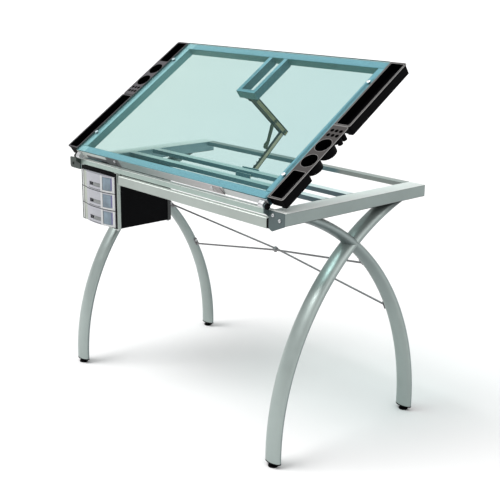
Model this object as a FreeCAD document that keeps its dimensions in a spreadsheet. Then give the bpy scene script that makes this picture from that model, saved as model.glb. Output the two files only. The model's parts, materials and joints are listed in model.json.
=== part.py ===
import FreeCAD, Part
import math
import os
import re
import Sketcher

# Glass-top drafting table. Millimetres. X runs along the width, Y from the
# user's side (front, negative) to the back, Z up from the floor. The origin is
# the centre of the footprint on the floor. The pieces of the tilting top are
# drawn in the top's own frame (X, depth along the glass, height above the
# glass face) and placed by TOP.

Vector = FreeCAD.Vector
Rotation = FreeCAD.Rotation
Placement = FreeCAD.Placement

X_AXIS = Vector(1, 0, 0)
Y_AXIS = Vector(0, 1, 0)
Z_AXIS = Vector(0, 0, 1)
CYCLE = Rotation(Vector(1, 1, 1), 120)      # turns x to Y, y to Z and z to X

DIMENSIONS = {
    # side rails and the rails between them
    "rail_inner": 482, "rail_width": 62, "rail_half_length": 300, "rail_height": 37,
    "rail_top": 766, "rail_wall": 2, "rail_corner": 3,
    "cross_width": 30, "cross_height": 15, "cross_wall": 1.5, "cross_corner": 2,
    "cross_front": -94, "cross_middle": 10, "cross_back": 270,
    "front_rail_depth": 20, "front_rail_top": 766, "front_rail_height": 17,
    "apron_left": -246, "apron_right": 474, "apron_front": -304, "apron_bottom": 712,
    "apron_height": 30, "plug_thickness": 8,
    "bracket_thickness": 3, "bracket_drop": 21, "bracket_corner": 10,
    # curved legs: a circular arc of oval tube, upright at the foot
    "leg_radius": 750, "leg_centre": 453, "leg_springing": 30, "leg_middle": 513,
    "leg_half_width": 30, "leg_half_depth": 15, "leg_wall": 2, "leg_bottom": 17,
    # feet
    "foot_radius": 15, "foot_height": 7, "stud_radius": 4, "stud_top": 34,
    "stud_clearance": 0.08,
    # cross brace behind the knees
    "brace_radius": 3.2, "brace_high": 540, "brace_low": 371, "brace_end": 480,
    "brace_tab": 2.5, "brace_rise": 14, "brace_shift": 29, "clip_radius": 9,
    "clip_length": 13,
    # hanging drawer cabinet
    "cabinet_left": -476, "cabinet_right": -262, "cabinet_front": -300,
    "cabinet_back": -78, "cabinet_bottom": 557, "cabinet_top": 747,
    "cabinet_roof": 12, "cabinet_floor": 3, "cabinet_thin": 6, "cabinet_thick": 10,
    "cabinet_rear": 3, "shelf_thickness": 2, "drawer_pitch": 58.5, "drawer_lift": 0.4,
    "drawer_height": 55.5, "drawer_side_gap": 1.2, "drawer_wall": 2, "drawer_bow": 16,
    "drawer_rear_gap": 6, "drawer_rim_drop": 6, "drawer_pull_width": 58,
    "drawer_pull_height": 15, "drawer_pull_depth": 9,
    "strap_width": 13, "strap_thickness": 2, "strap_flange": 14,
    # tilting top
    "tilt": 34.6, "hinge_front": -312, "hinge_height": 778,
    "hinge_setback": -9.8, "hinge_drop": -21.25,
    "pin_radius": 5, "pin_clearance": 0.06, "ear_radius": 8, "ear_thickness": 4,
    "ear_start": 478, "lug_radius": 8, "lug_start": 456, "lug_width": 20,
    "cap_radius": 9, "cap_start": 482.4, "cap_length": 7,
    "glass_half_width": 482.5, "glass_depth": 604, "glass_thickness": 5,
    "top_tube": 30, "top_tube_height": 26, "top_wall": 1.5, "top_corner": 2.5,
    "glass_screw_side": 470, "glass_screw_front": 95, "glass_screw_back": 505,
    "screw_head": 6, "screw_head_height": 2.5, "screw_shank": 3,
    # pencil ledge
    "ledge_half_width": 302, "ledge_height": 30, "ledge_thickness": 1.5,
    "ledge_gap": 1.2, "ledge_travel": 18, "ledge_screw_side": 250, "ledge_slot": 2.3,
    # side trays
    "tray_start": 483, "tray_width": 60.5, "tray_front": 6, "tray_split": 313,
    "tray_back": 602, "tray_gap": 1, "tray_deck": 3, "tray_depth": 29.5,
    "tray_inset": 2, "tray_keel": 32.8, "keel_start": 36, "well_inset": 5.5,
    "well_depth": 27, "bin_length": 116, "cup_radius": 26.5, "cup_wall": 2,
    "cup_depth": 30.5, "pencil_radius": 6.3, "pencil_wall": 1.7, "pencil_pitch": 16.5,
    "shelf_bracket": 1.2, "shelf_bracket_reach": 32,
    # ratchet support arm and the yoke it holds
    "arm_middle": 22, "yoke_half_width": 44, "yoke_tube": 16, "yoke_front": 397,
    "yoke_cross": 13, "yoke_height": 28, "yoke_wall": 2,
    "arm_base_depth": 52, "arm_base_height": 755, "elbow_depth": 185.3,
    "elbow_height": 877, "arm_head_depth": 414, "arm_head_drop": -45,
    "lower_half_depth": 8, "tooth_crest": 12, "lower_half_width": 4.5, "upper_half_depth": 9,
    "upper_half_width": 10, "upper_wall": 2, "upper_web": 11, "elbow_overrun": 12,
    "arm_pin": 4, "arm_pin_clearance": 0.08, "pawl_offset": 58, "pawl_length": 97.8,
    "pawl_half_width": 4, "tooth_pitch": 15, "tooth_depth": 5, "tooth_first": 20,
    "arm_ear_gap": 0.8, "arm_ear_thickness": 2.5,
}

doc = FreeCAD.newDocument("drafting_table")
sheet = doc.addObject("Spreadsheet::Sheet", "Dims")
for row, (alias, value) in enumerate(DIMENSIONS.items(), 1):
    sheet.set("A%d" % row, alias)
    sheet.set("B%d" % row, str(value))
    sheet.setAlias("B%d" % row, alias)
doc.recompute()

NODES = []


def size(alias):
    """A dimension's value, read from the sheet."""
    return float(sheet.get(alias))


def formula(text):
    """The text with each dimension's name pointed at the sheet."""
    def lookup(word):
        name = word.group()
        return "Dims." + name if name in DIMENSIONS else name
    return re.sub(r"[a-z]+(?:_[a-z]+)*", lookup, str(text))


def bind(item, target, text):
    item.setExpression(target, formula(text))


def node(item):
    """Mark an object as one of the table's sub-parts."""
    item.Label = item.Name
    NODES.append(item)
    return item


# ---------------------------------------------------------------- primitives

def block(name, x, y, z, length, width, height):
    item = doc.addObject("Part::Box", name)
    for target, text in (("Length", length), ("Width", width), ("Height", height),
                         ("Placement.Base.x", x), ("Placement.Base.y", y),
                         ("Placement.Base.z", z)):
        bind(item, target, text)
    return item


def rod(name, radius, length, placement):
    item = doc.addObject("Part::Cylinder", name)
    bind(item, "Radius", radius)
    bind(item, "Height", length)
    item.Placement = placement
    return item


def cut(name, base, tool):
    item = doc.addObject("Part::Cut", name)
    item.Base = base
    item.Tool = tool
    return item


def common(name, base, tool):
    item = doc.addObject("Part::Common", name)
    item.Base = base
    item.Tool = tool
    return item


def fuse(name, pieces):
    item = doc.addObject("Part::MultiFuse", name)
    item.Shapes = pieces
    return item


def group(name, pieces):
    """Separate solids that share one node."""
    item = doc.addObject("Part::Compound", name)
    item.Links = pieces
    return item


def rounded(name, box, direction, radius):
    """Round the long edges of a box that run in a direction."""
    doc.recompute()
    edges = []
    for index, edge in enumerate(box.Shape.Edges, 1):
        if abs(edge.tangentAt(edge.FirstParameter).dot(direction)) > 0.99:
            edges.append((index, size(radius), size(radius)))
    item = doc.addObject("Part::Fillet", name)
    item.Base = box
    item.Edges = edges
    return item


def tube(name, corner, extent, along, wall, radius):
    """A rectangular tube, open at both ends, with rounded long edges."""
    outer = block(name + "_outer", *corner, *extent)
    start = ["%s + %s" % (text, wall) for text in corner]
    bore = ["%s - 2 * %s" % (text, wall) for text in extent]
    start[along] = "%s - 1" % corner[along]
    bore[along] = "%s + 2" % extent[along]
    inner = block(name + "_bore", *start, *bore)
    direction = (X_AXIS, Y_AXIS, Z_AXIS)[along]
    return cut(name, rounded(name + "_rounded", outer, direction, radius), inner)


# ------------------------------------------------------------ sketched bodies

def new_body(name, placement=None):
    body = doc.addObject("PartDesign::Body", name)
    if placement:
        body.Placement = placement
    return body


def new_sketch(body, name, role, offset=0):
    """A sketch on one of the body's own origin planes, raised along its normal."""
    sketch = body.newObject("Sketcher::SketchObject", name)
    plane = [item for item in body.Origin.OriginFeatures if item.Role == role][0]
    sketch.AttachmentSupport = [(plane, "")]
    sketch.MapMode = "FlatFace"
    sketch.AttachmentOffset = Placement(Vector(0, 0, offset), Rotation())
    return sketch


def outline(sketch, points):
    """A closed outline through corners given as x, y and rounding radius."""
    corners = []
    for index, (x, y, radius) in enumerate(points):
        here = Vector(x, y, 0)
        before = Vector(*points[index - 1][:2], 0)
        after = Vector(*points[(index + 1) % len(points)][:2], 0)
        if not radius:
            corners.append((here, None, here))
            continue
        back = (before - here).normalize()
        ahead = (after - here).normalize()
        half = back.getAngle(ahead) / 2
        reach = radius / math.tan(half)
        middle = here + (back + ahead).normalize() * (radius / math.sin(half) - radius)
        corners.append((here + back * reach, middle, here + ahead * reach))
    for index, (start, middle, end) in enumerate(corners):
        if middle:
            sketch.addGeometry(Part.Arc(start, middle, end), False)
        following = corners[(index + 1) % len(corners)][0]
        if (following - end).Length > 1e-6:
            sketch.addGeometry(Part.LineSegment(end, following), False)


def circle(sketch, x, y, radius):
    """A circle whose radius follows a formula."""
    guess = Part.Circle(Vector(x, y, 0), Z_AXIS, 1)
    index = sketch.addGeometry(guess, False)
    constraint = sketch.addConstraint(Sketcher.Constraint("Radius", index, 1.0))
    bind(sketch, "Constraints[%d]" % constraint, radius)


def rectangle(sketch, left, low, right, high, radius=0):
    outline(sketch, [(left, low, radius), (right, low, radius),
                     (right, high, radius), (left, high, radius)])


def pad(body, sketch, length, backwards=False):
    item = body.newObject("PartDesign::Pad", sketch.Name + "_pad")
    item.Profile = sketch
    item.Reversed = backwards
    bind(item, "Length", length)
    return item


def pocket(body, sketch, depth, backwards=False):
    """Cut a sketch into a body, and prove that it took something away."""
    doc.recompute()
    before = body.Shape.Volume
    item = body.newObject("PartDesign::Pocket", sketch.Name + "_pocket")
    item.Profile = sketch
    item.Reversed = backwards
    bind(item, "Length", depth)
    doc.recompute()
    if body.Shape.Volume > before - 1e-3:
        raise RuntimeError("pocket %s cuts nothing" % item.Name)
    return item


def turned(name, points, placement):
    """A piece turned about its own Z axis from an outline of radius and height."""
    body = new_body(name, placement)
    sketch = new_sketch(body, name + "_profile", "XZ_Plane")
    outline(sketch, points)
    item = body.newObject("PartDesign::Revolution", name + "_turn")
    item.Profile = sketch
    item.ReferenceAxis = (sketch, ["V_Axis"])
    item.Angle = 360
    return body


def plate(name, role, points, start, thickness, placement=None):
    """A flat plate: an outline on an origin plane, padded along its normal."""
    body = new_body(name, placement)
    sketch = new_sketch(body, name + "_outline", role, start)
    outline(sketch, points)
    pad(body, sketch, thickness)
    return body


def mirrored_in_x(side, low, high):
    """The lower and higher X of a stretch on the right, or of its mirror image."""
    return (low, high) if side > 0 else (-high, -low)


SIDES = (("left", -1), ("right", 1))
TILT = size("tilt")
HINGE = Vector(0, size("hinge_front"), size("hinge_height"))
TOP_TURN = Rotation(X_AXIS, TILT)
TOP_ORIGIN = HINGE - TOP_TURN.multVec(Vector(0, size("hinge_setback"), size("hinge_drop")))
TOP = Placement(TOP_ORIGIN, TOP_TURN)
ALONG_X = Rotation(Y_AXIS, 90)


# ------------------------------------------------------------------ base frame

def build_rails():
    for name, side in SIDES:
        start = "rail_inner" if side > 0 else "-rail_inner - rail_width"
        node(tube("side_rail_" + name, (start, "-rail_half_length", "rail_top - rail_height"),
                  ("rail_width", "2 * rail_half_length", "rail_height"), 1,
                  "rail_wall", "rail_corner"))
    for name in ("front", "middle", "back"):
        node(tube("cross_rail_" + name,
                  ("-rail_inner", "cross_" + name, "rail_top - cross_height"),
                  ("2 * rail_inner", "cross_width", "cross_height"), 0,
                  "cross_wall", "cross_corner"))
    node(tube("front_rail_upper",
              ("-rail_inner", "-rail_half_length", "front_rail_top - front_rail_height"),
              ("2 * rail_inner", "front_rail_depth", "front_rail_height"), 0,
              "cross_wall", "cross_corner"))
    node(tube("front_rail_lower", ("apron_left", "apron_front", "apron_bottom"),
              ("apron_right - apron_left", "front_rail_depth", "apron_height"), 0,
              "cross_wall", "cross_corner"))


def build_tube_end_plugs():
    """Push-in plugs: the back ends of the side rails and the lower front rail."""
    pieces = []
    for name, side in SIDES:
        start = "rail_inner + rail_wall" if side > 0 else "-rail_inner - rail_width + rail_wall"
        pieces.append(block("rail_plug_" + name, start, "rail_half_length - plug_thickness",
                            "rail_top - rail_height + rail_wall",
                            "rail_width - 2 * rail_wall", "plug_thickness",
                            "rail_height - 2 * rail_wall"))
    pieces.append(block("apron_plug", "apron_right", "apron_front + cross_wall",
                        "apron_bottom + cross_wall", "rail_inner - apron_right",
                        "front_rail_depth - 2 * cross_wall", "apron_height - 2 * cross_wall"))
    node(group("tube_end_plugs", pieces))


def build_corner_brackets():
    """Folded plates on the front ends of the side rails, each with a hinge ear.

    The right-hand one reaches down beside the lower front rail.
    """
    inner = size("rail_inner")
    reach = size("ear_start")
    outer = inner + size("rail_width")
    top = size("rail_top")
    low = top - size("rail_height")
    drop = low - size("bracket_drop")
    front = -size("rail_half_length")
    face = front - size("bracket_thickness")
    ear = size("ear_radius")
    for name, side in SIDES:
        body = new_body("corner_bracket_" + name)
        sketch = new_sketch(body, "bracket_face_" + name, "XZ_Plane", -front)
        if side > 0:
            points = [(reach, top, 0), (outer, top, 4), (outer, low, 0),
                      (inner + 14, drop, 4), (inner, drop + 6, size("bracket_corner")),
                      (inner, top - 18, 0), (reach, top - 18, 0)]
        else:
            points = [(-outer, top, 4), (-reach, top, 0), (-reach, top - 18, 0),
                      (-inner, top - 18, 0), (-inner, low, 0),
                      (-outer, low, size("bracket_corner"))]
        outline(sketch, points)
        pad(body, sketch, "bracket_thickness")
        start, end = mirrored_in_x(side, size("ear_start"),
                                   size("ear_start") + size("ear_thickness"))
        lobe = new_sketch(body, "bracket_ear_" + name, "YZ_Plane", start)
        outline(lobe, [(HINGE.y - ear, HINGE.z + ear, ear - 0.01),
                       (HINGE.y + ear, HINGE.z + ear, ear - 0.01),
                       (HINGE.y + ear, top + 0.5, 0), (face + 0.5, top + 0.5, 0),
                       (face + 0.5, top - 18, 0), (HINGE.y - ear, top - 6, 0)])
        pad(body, lobe, "ear_thickness")
        hole = new_sketch(body, "bracket_hole_" + name, "YZ_Plane", end + 1)
        circle(hole, HINGE.y, HINGE.z, "pin_radius + pin_clearance")
        pocket(body, hole, "ear_thickness + 2")
        node(body)


def screw(name, point, direction, head, head_height, shank, shank_length):
    """A pan-head screw: head standing out along a direction, shank behind it."""
    turn = Rotation(Z_AXIS, direction)
    back = turn.multVec(Vector(0, 0, -size_of(shank_length)))
    top = rod(name + "_head", head, head_height, Placement(point, turn))
    stem = rod(name + "_shank", shank, shank_length, Placement(point + back, turn))
    return fuse(name, [top, stem])


def size_of(text):
    """A plain number, or a dimension looked up by name."""
    return size(text) if text in DIMENSIONS else float(text)


def build_frame_screws():
    """Screws through the corner brackets and up through the hanger straps."""
    pieces = []
    face = -size("rail_half_length") - size("bracket_thickness")
    top = size("rail_top")
    for name, side in SIDES:
        for place, (x, z) in enumerate(((500, top - 11), (527, top - 22))):
            pieces.append(screw("bracket_screw_%s_%d" % (name, place),
                                Vector(side * x, face, z), -Y_AXIS, 5, 2.5, 2.5, 0.5))
    strap = size("strap_width")
    below = size("cabinet_bottom") - size("strap_thickness")
    for name, start in (("front", size("cabinet_front")), ("back", STRAP_BACK)):
        pieces.append(screw("strap_screw_" + name,
                            Vector(size("cabinet_right") - 8, start + strap / 2, below),
                            -Z_AXIS, 4.5, 3, 2.5, 0.5))
    node(group("frame_screws", pieces))


# ------------------------------------------------------------------------ legs

def leg_arc(name, side, mirror, first, sweep, hollow=True):
    """A stretch of the curved leg: an oval swept about its arc's centre line.

    A leg starts upright at the foot. mirror is 1 for the leg whose foot is at
    the front and -1 for the one whose foot is at the back.
    """
    turn = Rotation(X_AXIS, -first)
    if mirror < 0:
        turn = Rotation(Z_AXIS, 180).multiply(turn)
    place = Placement(Vector(side * size("leg_middle"), mirror * size("leg_centre"),
                             size("leg_springing")), turn)
    body = new_body(name, place)
    sketch = new_sketch(body, name + "_oval", "XY_Plane")
    middle = Vector(0, -size("leg_radius"), 0)
    walls = (0, size("leg_wall")) if hollow else (0,)
    for wall in walls:
        half_width = size("leg_half_width") - wall
        half_depth = size("leg_half_depth") - wall
        sketch.addGeometry(Part.Ellipse(middle + Vector(half_width, 0, 0),
                                        middle + Vector(0, half_depth, 0), middle), False)
    item = body.newObject("PartDesign::Revolution", name + "_sweep")
    item.Profile = sketch
    item.ReferenceAxis = (sketch, ["H_Axis"])
    item.Reversed = True
    bind(item, "Angle", sweep)
    return body


def slab(name, side, back, front):
    """The space between the foot plugs and the rails, over a stretch of depth."""
    middle = "leg_middle" if side > 0 else "-leg_middle"
    return block(name, middle + " - rail_width", back, "leg_bottom",
                 "2 * rail_width", front, "rail_top - rail_height - leg_bottom")


def build_legs():
    """On each side a whole leg, crossed by one made of an upper and a lower piece."""
    start = -2
    crossing = math.degrees(math.acos(size("leg_centre") / size("leg_radius")))
    overrun = 82
    seam = 0.25
    for name, side in SIDES:
        whole = leg_arc("leg_tube_" + name, side, -1, start, overrun)
        node(common("leg_back_foot_" + name, whole,
                    slab("leg_slab_" + name, side, "-rail_half_length - 50",
                         "2 * rail_half_length + 100")))
        crossed = leg_arc("leg_core_" + name, side, -1, start, overrun, hollow=False)
        lower = leg_arc("leg_lower_tube_" + name, side, 1, start, crossing - start - seam)
        trimmed = common("leg_lower_trim_" + name, lower,
                         slab("leg_lower_slab_" + name, side, "-rail_half_length - 50",
                              "rail_half_length + 50"))
        node(cut("leg_front_foot_" + name, trimmed, crossed))
        upper = leg_arc("leg_upper_tube_" + name, side, 1, crossing + seam,
                        overrun - crossing - seam)
        trimmed = common("leg_upper_trim_" + name, upper,
                         slab("leg_upper_slab_" + name, side, "0", "rail_half_length"))
        node(cut("leg_top_" + name, trimmed, crossed))


def foot_places():
    """Name, X and Y of the four feet."""
    drop = size("leg_springing") - size("leg_bottom")
    radius = size("leg_radius")
    depth = math.sqrt(radius ** 2 - drop ** 2) - size("leg_centre")
    for end, sign in (("front", -1), ("back", 1)):
        for name, side in SIDES:
            yield end + "_" + name, side * size("leg_middle"), sign * depth


def build_feet():
    """Plugs in the legs' lower ends, and a threaded leveler in each."""
    plugs = []
    bottom = size("leg_bottom")
    for name, x, y in foot_places():
        body = new_body("leg_plug_" + name, Placement(Vector(x, y, 0), Rotation()))
        flange = new_sketch(body, "plug_flange_" + name, "XY_Plane", bottom - 4)
        flange.addGeometry(Part.Ellipse(Vector(size("leg_half_width"), 0, 0),
                                        Vector(0, size("leg_half_depth"), 0), Vector()), False)
        pad(body, flange, 4)
        insert = new_sketch(body, "plug_insert_" + name, "XY_Plane", bottom)
        inside = size("leg_wall") + 0.4
        insert.addGeometry(Part.Ellipse(Vector(size("leg_half_width") - inside, 0, 0),
                                        Vector(0, size("leg_half_depth") - inside, 0),
                                        Vector()), False)
        pad(body, insert, 16)
        thread = new_sketch(body, "plug_thread_" + name, "XY_Plane", bottom + 17)
        circle(thread, 0, 0, "stud_radius + stud_clearance")
        pocket(body, thread, 22)
        plugs.append(body)
        radius = size("foot_radius")
        height = size("foot_height")
        stud = size("stud_radius")
        collar = height + 4
        node(turned("leveler_" + name,
                    [(0, 0, 0), (radius, 0, 1.5), (radius, height - 2, 2), (9, height, 0),
                     (9, collar, 0), (stud, collar, 0), (stud, size("stud_top"), 0.8),
                     (0, size("stud_top"), 0)],
                    Placement(Vector(x, y, 0), Rotation())))
    node(group("leg_plugs", plugs))


# ----------------------------------------------------------------------- brace

def leg_point(height):
    """Depth and slope angle of the back-footed leg's centre line at a height."""
    angle = math.asin((height - size("leg_springing")) / size("leg_radius"))
    return size("leg_radius") * math.cos(angle) - size("leg_centre"), math.degrees(angle)


def build_brace():
    """Two crossed rods between the back-footed legs, bent up a little where they
    cross, with bolted end tabs and a clip at the crossing."""
    end = size("brace_end")
    tab = size("brace_tab")
    radius = size("brace_radius")
    high_depth, high_slope = leg_point(size("brace_high"))
    low_depth, low_slope = leg_point(size("brace_low"))
    middle_height = (size("brace_high") + size("brace_low")) / 2 + size("brace_rise")
    crossing = Vector(size("brace_shift"), (high_depth + low_depth) / 2, middle_height)
    lean = high_depth - low_depth
    across = Vector(0, size("brace_low") - size("brace_high"), lean).normalize()
    rods = []
    bolts = []
    for name, side in (("falling", -1), ("rising", 1)):
        shift = across * (side * radius * 1.02)
        first = Vector(side * end, high_depth, size("brace_high"))
        last = Vector(-side * end, low_depth, size("brace_low"))
        knee = doc.addObject("Part::Sphere", "brace_knee_" + name)
        bind(knee, "Radius", "brace_radius")
        knee.Placement = Placement(crossing + shift, Rotation())
        pieces = [knee]
        for place, point, slope in (("high", first, high_slope), ("low", last, low_slope)):
            label = name + "_" + place
            run = crossing - point
            pieces.append(rod("brace_bar_" + label, "brace_radius", run.Length,
                              Placement(point + shift, Rotation(Z_AXIS, run))))
            outward = 1 if point.x > 0 else -1
            turn = Rotation(X_AXIS, slope)
            start = 0 if outward > 0 else -tab
            pieces.append(plate("brace_tab_" + label, "YZ_Plane",
                                [(-7, -8, 3), (7, -8, 3), (7, 22, 3), (-7, 22, 3)],
                                start, "brace_tab", Placement(point, turn)))
            centre = point + turn.multVec(Vector(0, 0, 14))
            bolts.append(rod("brace_bolt_" + label, 5, 3,
                             Placement(centre, Rotation(Z_AXIS, X_AXIS * -outward))))
        rods.append(node(fuse("brace_rod_" + name, pieces)))
    node(group("brace_bolts", bolts))
    length = size("clip_length")
    clip = rod("clip_blank", "clip_radius", "clip_length",
               Placement(crossing - across * (length / 2), Rotation(Z_AXIS, across)))
    node(cut("brace_clip", cut("clip_half", clip, rods[0]), rods[1]))


# --------------------------------------------------------------------- cabinet

STRAP_BACK = size("cabinet_back") - size("strap_width")


def build_cabinet():
    """The hanging cabinet: five panels and two shelves."""
    width = "cabinet_right - cabinet_left"
    depth = "cabinet_back - cabinet_front"
    inside = "cabinet_bottom + cabinet_floor"
    height = "cabinet_top - cabinet_roof - cabinet_bottom - cabinet_floor"
    node(rounded("cabinet_roof", block("roof_block", "cabinet_left", "cabinet_front",
                                       "cabinet_top - cabinet_roof", width, depth,
                                       "cabinet_roof"), Z_AXIS, "strap_thickness"))
    node(rounded("cabinet_floor", block("floor_block", "cabinet_left", "cabinet_front",
                                        "cabinet_bottom", width, depth, "cabinet_floor"),
                 Z_AXIS, "strap_thickness"))
    node(block("cabinet_wall_left", "cabinet_left", "cabinet_front", inside,
               "cabinet_thin", depth, height))
    node(block("cabinet_wall_right", "cabinet_right - cabinet_thick", "cabinet_front", inside,
               "cabinet_thick", depth, height))
    room = width + " - cabinet_thin - cabinet_thick"
    node(block("cabinet_rear", "cabinet_left + cabinet_thin", "cabinet_back - cabinet_rear",
               inside, room, "cabinet_rear", height))
    shelves = []
    for level in (1, 2):
        shelves.append(block("shelf_%d" % level, "cabinet_left + cabinet_thin",
                             "cabinet_front + 2",
                             "%s + %d * drawer_pitch - shelf_thickness" % (inside, level),
                             room, depth + " - cabinet_rear - 2", "shelf_thickness"))
    node(group("cabinet_shelves", shelves))


def build_drawers():
    """Three moulded drawers with bowed fronts and a finger pull in each."""
    gap = size("drawer_side_gap")
    left = size("cabinet_left") + size("cabinet_thin") + gap
    right = size("cabinet_right") - size("cabinet_thick") - gap
    front = size("cabinet_front")
    back = size("cabinet_back") - size("cabinet_rear") - size("drawer_rear_gap")
    wall = size("drawer_wall")
    bow = size("drawer_bow")
    middle = (left + right) / 2
    height = size("drawer_height")
    for level, name in enumerate(("bottom", "middle", "top")):
        low = (size("cabinet_bottom") + size("cabinet_floor") + size("drawer_lift")
               + level * size("drawer_pitch"))
        body = new_body("drawer_" + name)
        face = new_sketch(body, "drawer_face_" + name, "XY_Plane", low)
        bulge = Part.Arc(Vector(left, front, 0), Vector(middle, front - bow, 0),
                         Vector(right, front, 0))
        face.addGeometry(bulge, False)
        for start, end in (((right, front), (right, front + 3)),
                           ((right, front + 3), (left, front + 3)),
                           ((left, front + 3), (left, front))):
            face.addGeometry(Part.LineSegment(Vector(*start, 0), Vector(*end, 0)), False)
        pad(body, face, "drawer_height")
        box = new_sketch(body, "drawer_box_" + name, "XY_Plane", low)
        rectangle(box, left + 1, front + 2, right - 1, back, 3)
        pad(body, box, "drawer_height - drawer_rim_drop")
        well = new_sketch(body, "drawer_well_" + name, "XY_Plane", low + height + 1)
        rectangle(well, left + 1 + wall, front + wall, right - 1 - wall, back - wall, 2)
        pocket(body, well, "drawer_height + 1 - drawer_wall")
        grip = new_sketch(body, "drawer_grip_" + name, "XZ_Plane", bow - front + 1)
        half = size("drawer_pull_width") / 2
        grip_low = low + 12
        rectangle(grip, middle - half, grip_low, middle + half,
                  grip_low + size("drawer_pull_height"), 2)
        pocket(body, grip, "drawer_pull_depth + 1")
        node(body)


def build_hangers():
    """Two bent straps that carry the cabinet from the rails above it."""
    left = size("cabinet_left")
    right = size("cabinet_right")
    low = size("cabinet_bottom")
    thick = size("strap_thickness")
    flange = size("strap_flange")
    under_front = size("front_rail_top") - size("front_rail_height")
    under_cross = size("rail_top") - size("cross_height")
    for name, start, top in (("front", size("cabinet_front"), under_front),
                             ("back", STRAP_BACK, under_cross)):
        points = [(left - thick, top, 0), (left - thick, low - thick, 3),
                  (right + thick, low - thick, 3), (right + thick, top, 0),
                  (right - flange, top, 0), (right - flange, top - thick, 0),
                  (right, top - thick, 0), (right, low, 1), (left, low, 1),
                  (left, top - thick, 0), (left + flange, top - thick, 0),
                  (left + flange, top, 0)]
        node(plate("cabinet_hanger_" + name, "XZ_Plane", points, -start - size("strap_width"),
                   "strap_width"))


# ------------------------------------------------------------------ tilting top

def build_top_frame():
    """Four welded tubes under the glass, and the glass itself."""
    under = "-glass_thickness - top_tube_height"
    for name, start in (("front", "0"), ("back", "glass_depth - top_tube")):
        item = tube("top_tube_" + name, ("-rail_inner", start, under),
                    ("2 * rail_inner", "top_tube", "top_tube_height"), 0,
                    "top_wall", "top_corner")
        item.Placement = TOP
        node(item)
    for name, start in (("left", "-rail_inner"), ("right", "rail_inner - top_tube")):
        item = tube("top_tube_" + name, (start, "top_tube", under),
                    ("top_tube", "glass_depth - 2 * top_tube", "top_tube_height"), 1,
                    "top_wall", "top_corner")
        item.Placement = TOP
        node(item)
    glass = new_body("glass_top", TOP)
    pane = new_sketch(glass, "glass_outline", "XY_Plane", -size("glass_thickness"))
    edge = size("glass_half_width")
    rectangle(pane, -edge, 0, edge, size("glass_depth"), 6)
    pad(glass, pane, "glass_thickness")
    holes = new_sketch(glass, "glass_holes", "XY_Plane", 1)
    for x, y in glass_screw_places():
        circle(holes, x, y, "screw_shank + 0.2")
    pocket(glass, holes, "glass_thickness + 2")
    base = glass.Tip
    rim = ["Edge%d" % index for index, item in enumerate(base.Shape.Edges, 1)
           if item.BoundBox.ZLength < 0.01 and not item.isClosed()]
    chamfer = glass.newObject("PartDesign::Chamfer", "glass_arris")
    chamfer.Base = (base, rim)
    chamfer.Size = 0.8
    node(glass)


def glass_screw_places():
    side = size("glass_screw_side")
    for x in (-side, side):
        for y in (size("glass_screw_front"), size("glass_screw_back")):
            yield x, y


def build_top_screws():
    """Screws that hold the glass down, and the two that guide the pencil ledge."""
    pieces = []
    for place, (x, y) in enumerate(glass_screw_places()):
        pieces.append(screw("glass_screw_%d" % place, Vector(x, y, 0), Z_AXIS,
                            "screw_head", "screw_head_height", "screw_shank",
                            "glass_thickness"))
    face = -size("ledge_gap") - size("ledge_thickness") - 0.2
    for name, side in SIDES:
        point = Vector(side * size("ledge_screw_side"), face, -ledge_screw_drop())
        pieces.append(screw("ledge_screw_" + name, point, -Y_AXIS, 4.5, 2, 2, -face))
    screws = group("top_screws", pieces)
    screws.Placement = TOP
    node(screws)


def ledge_screw_drop():
    """How far the ledge's guide screws sit below the glass face."""
    return size("glass_thickness") + 4


def build_ledge():
    """The sliding pencil ledge: a strip with two slots and a ribbed thumb grip."""
    half = size("ledge_half_width")
    near = size("ledge_gap")
    body = new_body("pencil_ledge", TOP)
    strip = new_sketch(body, "ledge_outline", "XZ_Plane", near)
    outline(strip, [(-half, 0, 8), (-half, -size("ledge_height"), 3),
                    (half - 10, -size("ledge_height"), 3), (half, 0, 3)])
    pad(body, strip, "ledge_thickness")
    slots = new_sketch(body, "ledge_slots", "XZ_Plane", near + size("ledge_thickness") + 1)
    reach = size("ledge_slot")
    high = -ledge_screw_drop() + reach
    low = -ledge_screw_drop() - size("ledge_travel") - reach
    for side in (-1, 1):
        middle = side * size("ledge_screw_side")
        rectangle(slots, middle - reach, low, middle + reach, high, reach - 0.01)
    pocket(body, slots, "ledge_thickness + 2")
    ribs = new_sketch(body, "ledge_ribs", "XZ_Plane", near + size("ledge_thickness"))
    for index in range(6):
        start = half - 40 + 5 * index
        outline(ribs, [(start, -size("ledge_height") + 3, 0),
                       (start + 2, -size("ledge_height") + 3, 0),
                       (start - 6, -2, 0), (start - 8, -2, 0)])
    pad(body, ribs, 1)
    node(body)


def build_hinge():
    """Hinge pins welded to lugs on the top's front tube, and a cap on each end."""
    pins = []
    radius = size("lug_radius")
    back = size("hinge_setback")
    drop = size("hinge_drop")
    under = -size("glass_thickness") - size("top_tube_height")
    for name, side in SIDES:
        start = mirrored_in_x(side, size("lug_start"),
                              size("lug_start") + size("lug_width"))[0]
        lug = plate("hinge_lug_" + name, "YZ_Plane",
                    [(back - radius, drop - radius, radius - 0.01), (0, under + 2, 0),
                     (0, -8, 3), (back - radius, drop + radius, radius - 0.01)],
                    start, "lug_width")
        reach = size("cap_start") + size("cap_length") - 2
        low, high = mirrored_in_x(side, size("lug_start") + 4, reach)
        pin = rod("hinge_bar_" + name, "pin_radius", high - low,
                  Placement(Vector(low, back, drop), ALONG_X))
        pins.append(fuse("hinge_pin_" + name, [lug, pin]))
        node(hinge_cap("hinge_cap_" + name, side))
    both = group("hinge_pins", pins)
    both.Placement = TOP
    node(both)


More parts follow.
